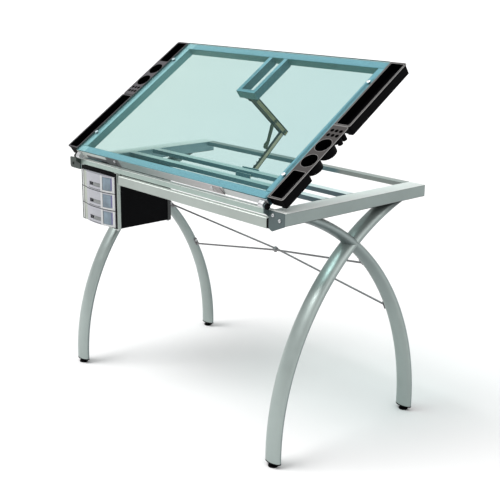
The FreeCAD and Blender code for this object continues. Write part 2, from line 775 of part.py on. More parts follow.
def hinge_cap(name, side):
    """A push-on cap over the pin's outer end, bored for it and closed outside."""
    radius = size("cap_radius")
    length = size("cap_length")
    bore = size("pin_radius")
    reach = length - 2
    turn = ALONG_X if side > 0 else Rotation(Y_AXIS, -90)
    return turned(name,
                  [(bore, 0, 0), (radius, 0, 1), (radius, length, 2), (0, length, 0),
                   (0, reach, 0), (bore, reach, 0)],
                  Placement(Vector(side * size("cap_start"), HINGE.y, HINGE.z), turn))


# ----------------------------------------------------------------------- trays

def tray_body(name, start, end, turned_round):
    """A tray's blank: a thin deck with rounded outer corners.

    Trays are drawn for the right-hand side, front to back. turned_round gives
    the same tray the other way round, as it hangs on the left.
    """
    place = TOP
    if turned_round:
        centre = size("tray_front") + size("tray_back")
        place = TOP.multiply(Placement(Vector(0, centre, 0), Rotation(Z_AXIS, 180)))
    body = new_body(name, place)
    deck = new_sketch(body, name + "_deck", "XY_Plane", -size("tray_deck"))
    inner = size("tray_start")
    outer = inner + size("tray_width")
    outline(deck, [(inner, start, 1), (outer, start, 7), (outer, end, 7), (inner, end, 1)])
    pad(body, deck, "tray_deck")
    return body


def pencil_places():
    """The centres of a tray's pencil holes: two rows of three."""
    middle = size("tray_start") + size("tray_width") / 2
    pitch = size("pencil_pitch")
    first = size("tray_front") + size("bin_length") + 149
    for row in (0, 1):
        for column in (-1, 0, 1):
            yield middle + column * pitch, first + row * (pitch + 3)


def cup_places():
    middle = size("tray_start") + size("tray_width") / 2 - 1
    first = size("tray_front") + size("bin_length") + 41
    return [(middle, first), (middle, first + 66)]


def build_organizer_tray(name, turned_round):
    """A tray with a square bin, two round cups and six pencil tubes."""
    start = size("tray_front")
    end = size("tray_split") - size("tray_gap")
    body = tray_body(name, start, end, turned_round)
    inner = size("tray_start")
    outer = inner + size("tray_width")
    inset = size("tray_inset")
    well = size("well_inset")
    bin_end = start + size("bin_length")
    depth = size("tray_depth")
    under = new_sketch(body, name + "_under", "XY_Plane", -depth)
    rectangle(under, inner + inset, start + inset, outer - inset, bin_end + inset, 5)
    pad(body, under, "tray_depth - tray_deck + 0.5")
    keel = new_sketch(body, name + "_keel", "XY_Plane", -size("tray_keel"))
    rectangle(keel, inner + size("keel_start"), start + inset, outer - inset,
              bin_end + inset, 5)
    pad(body, keel, "tray_keel - tray_depth + 0.5")
    cups = new_sketch(body, name + "_cups", "XY_Plane", -size("tray_keel"))
    for x, y in cup_places():
        circle(cups, x, y, "cup_radius + cup_wall")
    pad(body, cups, "tray_keel - tray_deck + 0.5")
    tubes = new_sketch(body, name + "_tubes", "XY_Plane", -depth)
    for x, y in pencil_places():
        circle(tubes, x, y, "pencil_radius + pencil_wall")
    pad(body, tubes, "tray_depth - tray_deck + 0.5")
    wells = new_sketch(body, name + "_wells", "XY_Plane", 1)
    rectangle(wells, inner + well, start + well, outer - well, bin_end - well / 2, 5)
    for x, y in pencil_places():
        circle(wells, x, y, "pencil_radius")
    pocket(body, wells, "well_depth + 1")
    hollows = new_sketch(body, name + "_hollows", "XY_Plane", 1)
    for x, y in cup_places():
        circle(hollows, x, y, "cup_radius")
    pocket(body, hollows, "cup_depth + 1")
    node(body)


def build_long_tray(name, turned_round):
    """A tray with one long well."""
    start = size("tray_split")
    end = size("tray_back")
    body = tray_body(name, start, end, turned_round)
    inner = size("tray_start")
    outer = inner + size("tray_width")
    inset = size("tray_inset")
    well = size("well_inset")
    under = new_sketch(body, name + "_under", "XY_Plane", -size("tray_depth"))
    rectangle(under, inner + inset, start + inset, outer - inset, end - inset, 6)
    pad(body, under, "tray_depth - tray_deck + 0.5")
    keel = new_sketch(body, name + "_keel", "XY_Plane", -size("tray_keel"))
    rectangle(keel, inner + size("keel_start"), start + inset, outer - inset, end - inset, 6)
    pad(body, keel, "tray_keel - tray_depth + 0.5")
    wells = new_sketch(body, name + "_well", "XY_Plane", 1)
    rectangle(wells, inner + well, start + well, outer - well, end - well, 6)
    pocket(body, wells, "well_depth + 1")
    node(body)


def build_tray_brackets():
    """Small angles on the top's side tubes: the trays rest on them."""
    pieces = []
    reach = size("shelf_bracket_reach")
    thick = size("shelf_bracket")
    edge = size("rail_inner")
    under = -size("tray_depth") - 0.2
    for name, side in SIDES:
        for place, start in enumerate((45, 272, 370, 540)):
            points = [(edge, under - thick, 0), (edge + reach, under - thick, 0.4),
                      (edge + reach, under, 0.4), (edge + 1.6, under, 0),
                      (edge + 1.6, -10, 0), (edge, -10, 0)]
            if side < 0:
                points = [(-x, z, radius) for x, z, radius in reversed(points)]
            if side < 0:
                start = size("tray_front") + size("tray_back") - start - 20
            pieces.append(plate("tray_bracket_%s_%d" % (name, place), "XZ_Plane", points,
                                -start - 20, 20))
    brackets = group("tray_brackets", pieces)
    brackets.Placement = TOP
    node(brackets)


# ------------------------------------------------------------------ support arm

MIDDLE = size("arm_middle")
ARM_BASE = Vector(MIDDLE, size("arm_base_depth"), size("arm_base_height"))
ELBOW = Vector(MIDDLE, size("elbow_depth"), size("elbow_height"))
ARM_HEAD = TOP.multVec(Vector(MIDDLE, size("arm_head_depth"), size("arm_head_drop")))


def link_placement(start, end):
    """Local x from start to end in the arm's plane, local z across the table."""
    run = end - start
    angle = math.degrees(math.atan2(run.z, run.y))
    return Placement(start, Rotation(X_AXIS, angle).multiply(CYCLE))


def build_yoke():
    """The U-shaped channel under the glass that the arm pushes on."""
    half = size("yoke_half_width")
    width = size("yoke_tube")
    front = size("yoke_front")
    back = size("glass_depth") - size("top_tube")
    cross = size("yoke_cross")
    wall = size("yoke_wall")
    roof = -size("glass_thickness")

    def shape(margin):
        inner = half - width + margin
        outer = half - margin
        near = front + margin
        return [(MIDDLE - outer, near, 0), (MIDDLE + outer, near, 0),
                (MIDDLE + outer, back - margin, 0), (MIDDLE + inner, back - margin, 0),
                (MIDDLE + inner, front + cross - margin, 0),
                (MIDDLE - inner, front + cross - margin, 0),
                (MIDDLE - inner, back - margin, 0), (MIDDLE - outer, back - margin, 0)]

    body = new_body("arm_yoke", TOP)
    blank = new_sketch(body, "yoke_outline", "XY_Plane", roof - size("yoke_height"))
    outline(blank, shape(0))
    pad(body, blank, "yoke_height")
    hollow = new_sketch(body, "yoke_hollow", "XY_Plane", roof - size("yoke_height") - 1)
    outline(hollow, shape(wall))
    pocket(body, hollow, "yoke_height - yoke_wall + 1", backwards=True)
    node(body)


def build_arm_head():
    """The bracket under the yoke: a plate and two ears with rivet stubs."""
    head = size("arm_head_depth")
    drop = size("arm_head_drop")
    under = -size("glass_thickness") - size("yoke_height")
    gap = size("upper_half_width") + size("arm_ear_gap")
    thick = size("arm_ear_thickness")
    near = size("yoke_front")
    pieces = [block("head_plate", "arm_middle - 16", "yoke_front",
                    "-glass_thickness - yoke_height - 2", 32, 36, 2)]
    for name, side in SIDES:
        start = MIDDLE + (gap if side > 0 else -gap - thick)
        ear = plate("head_ear_" + name, "YZ_Plane",
                    [(near + 3, under - 1, 0), (near + 33, under - 1, 0),
                     (head + 10, drop - 10, 9.9), (head - 10, drop - 10, 9.9)],
                    start, "arm_ear_thickness")
        pieces.append(ear)
        outward = Rotation(Y_AXIS, 90 * side)
        outer = MIDDLE + side * (gap + thick)
        pieces.append(rod("head_rivet_" + name, 6, 2.5,
                          Placement(Vector(outer, head, drop), outward)))
    item = fuse("arm_head_bracket", pieces)
    item.Placement = TOP
    node(item)


def build_arm_base():
    """The saddle round the middle cross rail, its two ears, and their pin."""
    front = size("cross_middle")
    back = front + size("cross_width")
    rail_low = size("rail_top") - size("cross_height")
    gap = size("lower_half_width") + size("arm_ear_gap")
    thick = size("arm_ear_thickness")
    top = size("rail_top") + 4
    body = plate("arm_base_bracket", "XZ_Plane",
                 [(MIDDLE - 40, top - 29, 3), (MIDDLE + 40, top - 29, 3),
                  (MIDDLE + 40, top, 3), (MIDDLE - 40, top, 3)], -back - 3, 3)
    lip = new_sketch(body, "base_lip", "XZ_Plane", -front)
    outline(lip, [(MIDDLE - 36, rail_low - 9, 3), (MIDDLE + 36, rail_low - 9, 3),
                  (MIDDLE + 36, rail_low + 6, 3), (MIDDLE - 36, rail_low + 6, 3)])
    pad(body, lip, 3)
    saddle = new_sketch(body, "base_saddle", "XY_Plane", rail_low - 3)
    rectangle(saddle, MIDDLE - 36, front - 2, MIDDLE + 36, back + 1)
    pad(body, saddle, 3)
    reach = ARM_BASE.y + 9
    for name, side in SIDES:
        start = MIDDLE + (gap if side > 0 else -gap - thick)
        ear = new_sketch(body, "base_ear_" + name, "YZ_Plane", start)
        outline(ear, [(back + 2, top - 24, 0), (reach, top - 24, 8), (reach, top - 5, 8),
                      (back + 2, top - 3, 0)])
        pad(body, ear, "arm_ear_thickness")
    hole = new_sketch(body, "base_ear_hole", "YZ_Plane", MIDDLE + gap + thick + 1)
    circle(hole, ARM_BASE.y, ARM_BASE.z, "arm_pin")
    pocket(body, hole, 2 * (gap + thick) + 2)
    node(body)
    half = gap + thick
    stem = rod("base_pin_stem", "arm_pin", 2 * half,
               Placement(ARM_BASE - X_AXIS * half, ALONG_X))
    heads = [rod("base_pin_head_" + name, 6, 2,
                 Placement(ARM_BASE + X_AXIS * (side * half), Rotation(Y_AXIS, 90 * side)))
             for name, side in SIDES]
    node(fuse("arm_base_pin", [stem] + heads))


def build_lower_link():
    """The flat ratchet bar, with saw teeth along its front edge."""
    half = size("lower_half_depth")
    wide = size("lower_half_width")
    length = (ELBOW - ARM_BASE).Length
    pitch = size("tooth_pitch")
    tooth = size("tooth_depth")
    body = new_body("arm_lower_link", link_placement(ARM_BASE, ELBOW))
    blank = new_sketch(body, "lower_link_outline", "XY_Plane", -wide)
    crest = size("tooth_crest")
    first = size("tooth_first")
    points = [(-half, -half, half - 0.01), (length + half, -half, half - 0.01),
              (length + half, half, half - 0.01), (first + 5 * pitch + 8, half, 3)]
    for index in reversed(range(5)):
        start = first + index * pitch
        points += [(start + pitch, crest, 0), (start + pitch - 2, crest - tooth, 1),
                   (start + 2, crest - tooth, 2)]
    points += [(first, crest, 0), (first - 6, half, 3), (-half, half, half - 0.01)]
    outline(blank, points)
    pad(body, blank, "2 * lower_half_width")
    holes = new_sketch(body, "lower_link_holes", "XY_Plane", wide + 1)
    circle(holes, 0, 0, "arm_pin + arm_pin_clearance")
    circle(holes, length, 0, "arm_pin + arm_pin_clearance")
    pocket(body, holes, "2 * lower_half_width + 2")
    node(body)


def build_upper_link():
    """The channel that the ratchet bar folds into."""
    half = size("upper_half_depth")
    wide = size("upper_half_width")
    wall = size("upper_wall")
    web = size("upper_web")
    length = (ARM_HEAD - ELBOW).Length
    over = size("elbow_overrun")
    body = new_body("arm_upper_link", link_placement(ELBOW, ARM_HEAD))
    blank = new_sketch(body, "upper_link_outline", "XY_Plane", -wide)
    outline(blank, [(-over, -web, 0), (length - 6, -web, 2), (length + half, -half, half - 0.01),
                    (length + half, half, half - 0.01), (-over, half, 2)])
    pad(body, blank, "2 * upper_half_width")
    groove = new_sketch(body, "upper_link_groove", "XY_Plane", wide - wall)
    rectangle(groove, -over - 1, -web + wall, length + half + 1, half + 1)
    pocket(body, groove, "2 * (upper_half_width - upper_wall)")
    holes = new_sketch(body, "upper_link_holes", "XY_Plane", wide + 1)
    for x in (0, size("pawl_offset"), length):
        circle(holes, x, 0, "arm_pin")
    pocket(body, holes, "2 * upper_half_width + 2")
    node(body)


def build_arm_pins():
    """The rivets that the upper link carries: one at the elbow, one at the pawl."""
    run = (ARM_HEAD - ELBOW).normalize()
    pins = []
    wide = size("upper_half_width")
    for name, point in (("elbow", ELBOW), ("pawl", ELBOW + run * size("pawl_offset"))):
        stem = rod(name + "_pin_stem", "arm_pin", 2 * wide,
                   Placement(point - X_AXIS * wide, ALONG_X))
        heads = [rod("%s_pin_head_%s" % (name, end), 6, 1.8,
                     Placement(point + X_AXIS * (side * wide), Rotation(Y_AXIS, 90 * side)))
                 for end, side in SIDES]
        pins.append(fuse(name + "_pin", [stem] + heads))
    node(group("arm_pins", pins))


def build_pawl():
    """The pawl that drops from the upper link onto the ratchet bar's teeth."""
    run = (ARM_HEAD - ELBOW).normalize()
    pivot = ELBOW + run * size("pawl_offset")
    back = (ARM_BASE - ELBOW).normalize()
    outward = Vector(0, -back.z, back.y) * -1
    tip = ELBOW + back * 92 + outward * 12
    length = size("pawl_length")
    wide = size("pawl_half_width")
    body = new_body("arm_pawl", link_placement(pivot, tip))
    blank = new_sketch(body, "pawl_outline", "XY_Plane", -wide)
    outline(blank, [(-7, -6, 5), (12, -6, 4), (length - 30, -4, 6), (length - 16, -12, 2),
                    (length - 3, -11, 1), (length, 0, 1), (length - 20, 3, 6), (12, 4, 4),
                    (-7, 6, 5)])
    pad(body, blank, "2 * pawl_half_width")
    hole = new_sketch(body, "pawl_hole", "XY_Plane", wide + 1)
    circle(hole, 0, 0, "arm_pin + arm_pin_clearance")
    pocket(body, hole, "2 * pawl_half_width + 2")
    node(body)


# ------------------------------------------------------------------ the document

build_rails()
build_tube_end_plugs()
build_corner_brackets()
build_frame_screws()
build_legs()
build_feet()
build_brace()
build_cabinet()
build_drawers()
build_hangers()
build_top_frame()
build_top_screws()
build_ledge()
build_hinge()
build_organizer_tray("tray_organizer_right", False)
build_long_tray("tray_long_right", False)
build_organizer_tray("tray_organizer_left", True)
build_long_tray("tray_long_left", True)
build_tray_brackets()
build_yoke()
build_arm_head()
build_arm_base()
build_lower_link()
build_upper_link()
build_arm_pins()
build_pawl()
doc.recompute()

for item in doc.Objects:
    if "Invalid" in item.State or "Error" in item.State:
        raise RuntimeError("%s failed: %s" % (item.Name, item.State))
for item in NODES:
    if item.Shape.isNull() or not item.Shape.isValid() or not item.Shape.Solids:
        raise RuntimeError("%s has no valid shape" % item.Label)

os.makedirs("parts", exist_ok=True)
for item in NODES:
    item.Shape.exportStep("parts/%s.step" % item.Label)
print("%d nodes" % len(NODES))
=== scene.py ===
import json
import math

import bpy
import bmesh
from mathutils import Matrix, Vector


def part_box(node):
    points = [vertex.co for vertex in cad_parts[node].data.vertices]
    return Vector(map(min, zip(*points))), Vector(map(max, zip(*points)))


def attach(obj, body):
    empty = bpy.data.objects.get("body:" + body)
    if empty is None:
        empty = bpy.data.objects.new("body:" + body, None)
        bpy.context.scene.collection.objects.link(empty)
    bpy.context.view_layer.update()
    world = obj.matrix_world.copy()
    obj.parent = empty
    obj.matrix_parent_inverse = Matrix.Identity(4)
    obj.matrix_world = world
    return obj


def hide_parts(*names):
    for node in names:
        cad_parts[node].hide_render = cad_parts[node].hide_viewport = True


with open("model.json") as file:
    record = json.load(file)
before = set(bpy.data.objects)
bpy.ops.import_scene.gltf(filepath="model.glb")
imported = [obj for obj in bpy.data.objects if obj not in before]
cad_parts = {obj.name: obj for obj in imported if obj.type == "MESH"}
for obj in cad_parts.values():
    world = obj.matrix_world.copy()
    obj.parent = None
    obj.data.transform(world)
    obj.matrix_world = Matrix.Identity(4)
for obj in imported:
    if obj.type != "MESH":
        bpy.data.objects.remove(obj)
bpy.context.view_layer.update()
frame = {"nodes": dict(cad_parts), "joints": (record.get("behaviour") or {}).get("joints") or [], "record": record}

# A glass-top drafting table, with its top raised. The CAD nodes are the frame;
# this script gives them their finishes, sweeps the legs' tubes more smoothly and
# adds the small parts and mouldings.
# Lengths are in metres; X is the width, Y runs to the back and Z is up.

NODES = frame["nodes"]
JOINTS = {joint["name"]: joint for joint in frame["joints"]}
MM = 0.001

# The tilting top's own frame: x across, s up the slope, h square to the glass.
TILT = math.radians(JOINTS["top_tilt"]["range_deg"][1])
UP_SLOPE = Vector((0, math.cos(TILT), math.sin(TILT)))
OFF_GLASS = Vector((0, -math.sin(TILT), math.cos(TILT)))
GLASS_THICK = 5 * MM
GLASS_LOW, GLASS_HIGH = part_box("glass_top")
GLASS_LENGTH = (GLASS_HIGH.y - GLASS_LOW.y - GLASS_THICK * math.sin(TILT)) / math.cos(TILT)
TOP_ORIGIN = Vector((0, GLASS_LOW.y, GLASS_HIGH.z - GLASS_LENGTH * math.sin(TILT)))
TOP_MATRIX = Matrix.Translation(TOP_ORIGIN) @ Matrix.Rotation(TILT, 4, "X")


RIGHT = (1, 0, 0)
LEFT = (-1, 0, 0)
FRONT = (0, -1, 0)
UP = (0, 0, 1)
DOWN = (0, 0, -1)


def top_point(x, s, h):
    """A place given in the top's own frame."""
    return TOP_MATRIX @ Vector((x, s, h))


def top_box(node):
    """Lowest and highest corner of a node at rest, in the top's own frame."""
    back = TOP_MATRIX.inverted()
    points = [back @ vertex.co for vertex in NODES[node].data.vertices]
    low = Vector(min(point[i] for point in points) for i in range(3))
    high = Vector(max(point[i] for point in points) for i in range(3))
    return low, high


# ------------------------------------------------------------------ materials

class Tree:
    """A material's node tree, built from short calls."""

    def __init__(self, name):
        self.material = bpy.data.materials.new(name)
        self.material.use_nodes = True
        self.tree = self.material.node_tree
        self.tree.nodes.clear()
        self.output = self.add("ShaderNodeOutputMaterial")
        self.coordinates = self.add("ShaderNodeTexCoord")

    def add(self, kind, **sockets):
        item = self.tree.nodes.new(kind)
        for name, value in sockets.items():
            self.set(item, name.replace("_", " "), value)
        return item

    def set(self, item, name, value):
        socket = item.inputs[int(name)] if name.isdigit() else item.inputs[name]
        if isinstance(value, bpy.types.NodeSocket):
            self.tree.links.new(value, socket)
        else:
            socket.default_value = value

    def noise(self, scale, detail=3.0, stretch=(1, 1, 1), roughness=0.55):
        place = self.add("ShaderNodeMapping", Vector=self.coordinates.outputs["Object"],
                         Scale=stretch)
        item = self.add("ShaderNodeTexNoise", Vector=place.outputs[0], Scale=scale,
                        Detail=detail, Roughness=roughness)
        return item.outputs["Fac"]

    def ramp(self, factor, stops):
        item = self.add("ShaderNodeValToRGB", Fac=factor)
        points = item.color_ramp.elements
        while len(points) < len(stops):
            points.new(0.5)
        for point, (position, colour) in zip(points, stops):
            point.position = position
            point.color = (*colour, 1)
        return item.outputs["Color"]

    def span(self, factor, low, high, start=0.3, end=0.7):
        item = self.add("ShaderNodeMapRange")
        self.set(item, "Value", factor)
        for name, value in (("From Min", start), ("From Max", end), ("To Min", low),
                            ("To Max", high)):
            item.inputs[name].default_value = value
        return item.outputs["Result"]

    def math(self, operation, first, second=0.0):
        item = self.tree.nodes.new("ShaderNodeMath")
        item.operation = operation
        self.set(item, "0", first)
        self.set(item, "1", second)
        return item.outputs[0]

    def blend(self, factor, first, second):
        item = self.tree.nodes.new("ShaderNodeMix")
        item.data_type = "RGBA"
        self.set(item, "0", factor)
        self.set(item, "6", first)
        self.set(item, "7", second)
        return item.outputs[2]

    def facing(self, direction, start=0.8, end=0.9):
        """1 where the surface at rest faces a direction, 0 elsewhere."""
        item = self.tree.nodes.new("ShaderNodeVectorMath")
        item.operation = "DOT_PRODUCT"
        self.set(item, "0", self.coordinates.outputs["Normal"])
        self.set(item, "1", tuple(direction))
        return self.span(item.outputs["Value"], 0.0, 1.0, start, end)

    def beyond(self, direction, level, softness=0.2 * MM):
        """1 on whatever lies, at rest, further along a direction than a level."""
        item = self.tree.nodes.new("ShaderNodeVectorMath")
        item.operation = "DOT_PRODUCT"
        self.set(item, "0", self.coordinates.outputs["Object"])
        self.set(item, "1", tuple(direction))
        return self.span(item.outputs["Value"], 0.0, 1.0, level - softness, level)

    def bump(self, height, strength, distance=0.0005):
        item = self.add("ShaderNodeBump", Height=height, Strength=strength,
                        Distance=distance)
        return item.outputs["Normal"]

    def finish(self, shader):
        """Join the last shader to the output and hand back the material."""
        self.tree.links.new(shader, self.output.inputs["Surface"])
        return self.material


def shaded(colour, factor):
    return tuple(min(1.0, channel * factor) for channel in colour)


def mottled(tree, colour, amount, scale, stretch=(1, 1, 1)):
    """A colour that drifts a little darker and lighter over the surface."""
    return tree.ramp(tree.noise(scale, 4.0, stretch),
                     ((0.3, shaded(colour, 1 - amount)), (0.7, shaded(colour, 1 + amount))))


def coat_material(name, colour, roughness=0.42, metallic=0.25, grain=1400, amount=0.05,
                  bump=0.08, marks=None):
    """Powder coat: fine orange peel, and a slight drift of tone."""
    tree = Tree(name)
    tone = mottled(tree, colour, amount, 9)
    if marks:
        tone = marks(tree, tone)
    rough = tree.span(tree.noise(40), roughness - 0.05, roughness + 0.05)
    shader = tree.add("ShaderNodeBsdfPrincipled", Base_Color=tone, Metallic=metallic,
                      Roughness=rough)
    tree.set(shader, "Normal", tree.bump(tree.noise(grain, 2.0), bump, 0.0002))
    return tree.finish(shader.outputs[0])


def plastic_material(name, colour, roughness=0.38, grain=900, amount=0.12, bump=0.18,
                     specular=0.5, marks=None):
    """Moulded plastic with a fine grain."""
    tree = Tree(name)
    rough = tree.span(tree.noise(60), roughness - 0.06, roughness + 0.06)
    tone = mottled(tree, colour, amount, 30)
    if marks:
        tone = marks(tree, tone)
    shader = tree.add("ShaderNodeBsdfPrincipled", Base_Color=tone, Roughness=rough)
    shader.inputs["Specular IOR Level"].default_value = specular
    tree.set(shader, "Normal", tree.bump(tree.noise(grain, 2.0), bump, 0.0003))
    return tree.finish(shader.outputs[0])


def metal_material(name, colour, roughness=0.3, stretch=(1, 1, 1), scale=120, amount=0.08,
                   metallic=1.0, marks=None):
    """Bare or plated metal; stretch draws its grain out along the part."""
    tree = Tree(name)
    rough = tree.span(tree.noise(scale, 3.0, stretch), roughness - 0.07, roughness + 0.07)
    tone = mottled(tree, colour, amount, scale / 6, stretch)
    if marks:
        tone = marks(tree, tone)
    shader = tree.add("ShaderNodeBsdfPrincipled", Metallic=metallic, Roughness=rough,
                      Base_Color=tone)
    tree.set(shader, "Normal", tree.bump(tree.noise(scale * 3, 2.0, stretch), 0.06, 0.0002))
    return tree.finish(shader.outputs[0])


def glass_material():
    """Tinted float glass: clear through its faces, deeper and duller at its edge."""
    tree = Tree("tinted_glass_look")
    face = tree.facing(OFF_GLASS, 0.5, 0.8)
    under = tree.facing(-OFF_GLASS, 0.5, 0.8)
    flat = tree.math("MAXIMUM", face, under)
    tint = tree.ramp(tree.noise(1.2, 1.0), ((0.3, (0.727, 0.818, 0.797)),
                                            (0.7, (0.733, 0.822, 0.801))))
    tint = tree.blend(tree.beyond(RIGHT, 0.45, 0.9), tint, (0.696, 0.803, 0.798, 1))
    through = tree.add("ShaderNodeBsdfTransparent", Color=tint)
    body = tree.add("ShaderNodeBsdfPrincipled", Roughness=0.04, IOR=1.5,
                    Base_Color=tree.blend(flat, (0.015, 0.06, 0.065, 1), (0.25, 0.45, 0.45, 1)))
    tree.set(body, "Specular IOR Level", tree.span(flat, 0.05, 0.5, 0.0, 1.0))
    slant = tree.add("ShaderNodeLayerWeight", Blend=0.5)
    grazing = tree.math("POWER", slant.outputs["Facing"], 4.0)
    share = tree.math("ADD", tree.math("MULTIPLY", grazing, 0.5), 0.012)
    share = tree.math("MAXIMUM", share, tree.math("MULTIPLY", tree.math("SUBTRACT", 1.0, flat),
                                                  0.95))
    mixed = tree.add("ShaderNodeMixShader")
    tree.set(mixed, "0", share)
    tree.set(mixed, "1", through.outputs[0])
    tree.set(mixed, "2", body.outputs[0])
    return tree.finish(mixed.outputs[0])


SILVER = (0.34, 0.385, 0.36)


# Places of the painted light and shade, in metres: across the table from its middle, or up from the floor.
LEFT_TUBE = 0.44            # inner edge of the top frame's left tube
SHADE_BAND_LEFT = 0.43            # ends of the band of painted shade low on the frame's front wall
SHADE_BAND_RIGHT = 0.235
SHADE_BAND_DEPTH = 18 * MM        # from the glass down to that band of painted shade
LEDGE_DARK_END = 0.228         # right end of the dark stretch at the ledge's left end
CROSS_SHADE = 0.34          # right end of the bluish painted shade on the cross rails' fronts
FAR_SHADE = 0.22            # and of the painted shade on the rearmost rail's front
HEAD_SHADE = 0.733          # where the painted shadow on the leg heads is darkest


def under_glass_painted_light(tree, tone):
    """Painted light and shade on the top frame: the faces the glass lies on are painted a clear light blue, as lit
    through it; the other faces are painted in darker teal shade, with a dark band of painted shade low on the left
    of the front wall.
    """
    left = tree.beyond(LEFT, LEFT_TUBE, 4 * MM)
    inner = tree.blend(left, (0.058, 0.15, 0.175, 1), (0.15, 0.30, 0.32, 1))
    tone = tree.blend(tree.facing(RIGHT, 0.5, 0.8), tone, inner)
    tone = tree.blend(tree.facing(-UP_SLOPE, 0.5, 0.8), tone, (0.098, 0.215, 0.195, 1))
    behind = tree.beyond(UP_SLOPE, TOP_ORIGIN.dot(UP_SLOPE) + 3 * MM)
    wall = tree.blend(tree.beyond(RIGHT, 0.45, 0.3), (0.45, 0.49, 0.46, 1),
                      (0.47, 0.48, 0.49, 1))
    # slot masks the band of painted shade, where a gap under the frame lies in shadow
    slot = tree.beyond(-OFF_GLASS, SHADE_BAND_DEPTH - TOP_ORIGIN.dot(OFF_GLASS), 2 * MM)
    slot = tree.math("MULTIPLY", slot, tree.beyond(LEFT, SHADE_BAND_RIGHT, 4 * MM))
    slot = tree.math("MULTIPLY", slot, tree.beyond(RIGHT, -SHADE_BAND_LEFT, 4 * MM))
    wall = tree.blend(slot, wall, (0.008, 0.013, 0.015, 1))
    tone = tree.blend(behind, wall, tone)
    # painted light on the faces the glass lies on
    lit = tree.blend(left, (0.24, 0.43, 0.52, 1), (0.40, 0.60, 0.68, 1))
    return tree.blend(tree.facing(OFF_GLASS), tone, lit)


def cross_rail_painted_shade(tree, tone):
    """Painted shade on the fronts, bluish where the glass lies over them, and painted light on the tops, as on
    rails that lie in the top's shade.
    """
    front = tree.blend(tree.beyond(RIGHT, CROSS_SHADE, 0.03), (0.07, 0.155, 0.185, 1),
                       (0.06, 0.095, 0.11, 1))
    tone = tree.blend(tree.facing(FRONT, 0.5, 0.8), tone, front)
    return tree.blend(tree.facing(UP, 0.6, 0.9), tone, (0.80, 0.86, 0.86, 1))


def front_rail_painted_highlight(tree, tone):
    """A painted highlight runs along the top faces and top corners of the front rails."""
    return tree.blend(tree.facing(UP, 0.3, 0.7), tone, (0.93, 0.97, 0.93, 1))


def left_rail_painted_shade(tree, tone):
    """Painted shade: the left rail's inner side is painted the shaded blue it shows through the glass."""
    tone = tree.blend(tree.facing(RIGHT, 0.5, 0.8), tone, (0.24, 0.34, 0.37, 1))
    return side_rail_painted_light(tree, tone)


def side_rail_painted_light(tree, tone):
    """Painted light and shade: the rails' tops are painted as the brightest faces, their inner sides slate and
    their undersides near black.
    """
    tone = tree.blend(tree.facing(LEFT, 0.5, 0.8), tone, (0.16, 0.21, 0.22, 1))
    tone = tree.blend(tree.facing(DOWN, 0.15, 0.5), tone, (0.03, 0.035, 0.034, 1))
    return tree.blend(tree.facing(UP, 0.6, 0.9), tone, (0.84, 0.87, 0.845, 1))


def far_rail_painted_shade(tree, tone):
    """Painted light and shade: the rearmost rail stands clear of the top's shade and stays light, but for painted
    shade on the left of its front.
    """
    light = tree.blend(tree.beyond(RIGHT, FAR_SHADE, 0.03), (0.10, 0.17, 0.185, 1),
                       (0.235, 0.25, 0.235, 1))
    tone = tree.blend(tree.facing(FRONT, 0.5, 0.8), tone, light)
    return tree.blend(tree.facing(UP, 0.6, 0.9), tone, (0.36, 0.39, 0.37, 1))


def leg_painted_shade(tree, tone):
    """Painted shade: the legs' undersides and backs fall off to slate below a bright ridge."""
    tone = tree.blend(tree.facing((0.45, 0.75, -0.3), 0.1, 0.95), tone, (0.11, 0.15, 0.155, 1))
    low = tree.facing((0, 0.25, -1), 0.15, 0.9)
    return tree.blend(low, tone, (0.045, 0.065, 0.072, 1))


def leg_top_painted_shade(tree, tone):
    """Painted shadow: the leg heads darken towards the rails that rest on them."""
    tone = leg_painted_shade(tree, tone)
    near = tree.beyond(UP, HEAD_SHADE, 0.035)
    return tree.blend(near, tone, (0.02, 0.026, 0.028, 1))


def ledge_painted_reflection(tree, tone):
    """A painted reflection makes the pencil ledge pale to the right; its left end is dark."""
    tone = tree.blend(tree.beyond(RIGHT, 0.25, 0.36), tone, (0.42, 0.40, 0.40, 1))
    return tree.blend(tree.beyond(LEFT, LEDGE_DARK_END, 6 * MM), tone, (0.035, 0.042, 0.042, 1))


def arm_painted_edge_shade(start, end, reach):
    """Pressed steel: pale flat sides, with painted shade on the edge faces and along both long edges.

    start and end are the joints at a link's two ends, and reach is the distance
    from its centre line to where the dark edges begin.
    """
    along = (Vector(JOINTS[end]["pos_m"]) - Vector(JOINTS[start]["pos_m"])).normalized()
    across = Vector((0, -along.z, along.y))
    level = across.dot(Vector(JOINTS[start]["pos_m"]))

    def marks(tree, tone):
        # dark is the painted shade on the edges
        dark = (0.012, 0.017, 0.006, 1)
        sides = tree.math("MAXIMUM", tree.facing(RIGHT), tree.facing(LEFT))
        tone = tree.blend(sides, dark, tone)
        tone = tree.blend(tree.beyond(across, level + reach, 1.5 * MM), tone, dark)
        return tree.blend(tree.beyond(-across, reach - level, 1.5 * MM), tone, dark)

    return marks


def tray_deck_sheen(tree, tone):
    """A painted sheen: the deck round a tray's wells is a soft grey, lighter on the left trays."""
    level = TOP_ORIGIN.dot(OFF_GLASS) - 1.5 * MM
    deck = tree.math("MULTIPLY", tree.facing(OFF_GLASS), tree.beyond(OFF_GLASS, level))
    deck_sheen = tree.blend(tree.beyond(RIGHT, 0), (0.078, 0.074, 0.08, 1),
                      (0.058, 0.054, 0.053, 1))
    return tree.blend(deck, tone, deck_sheen)


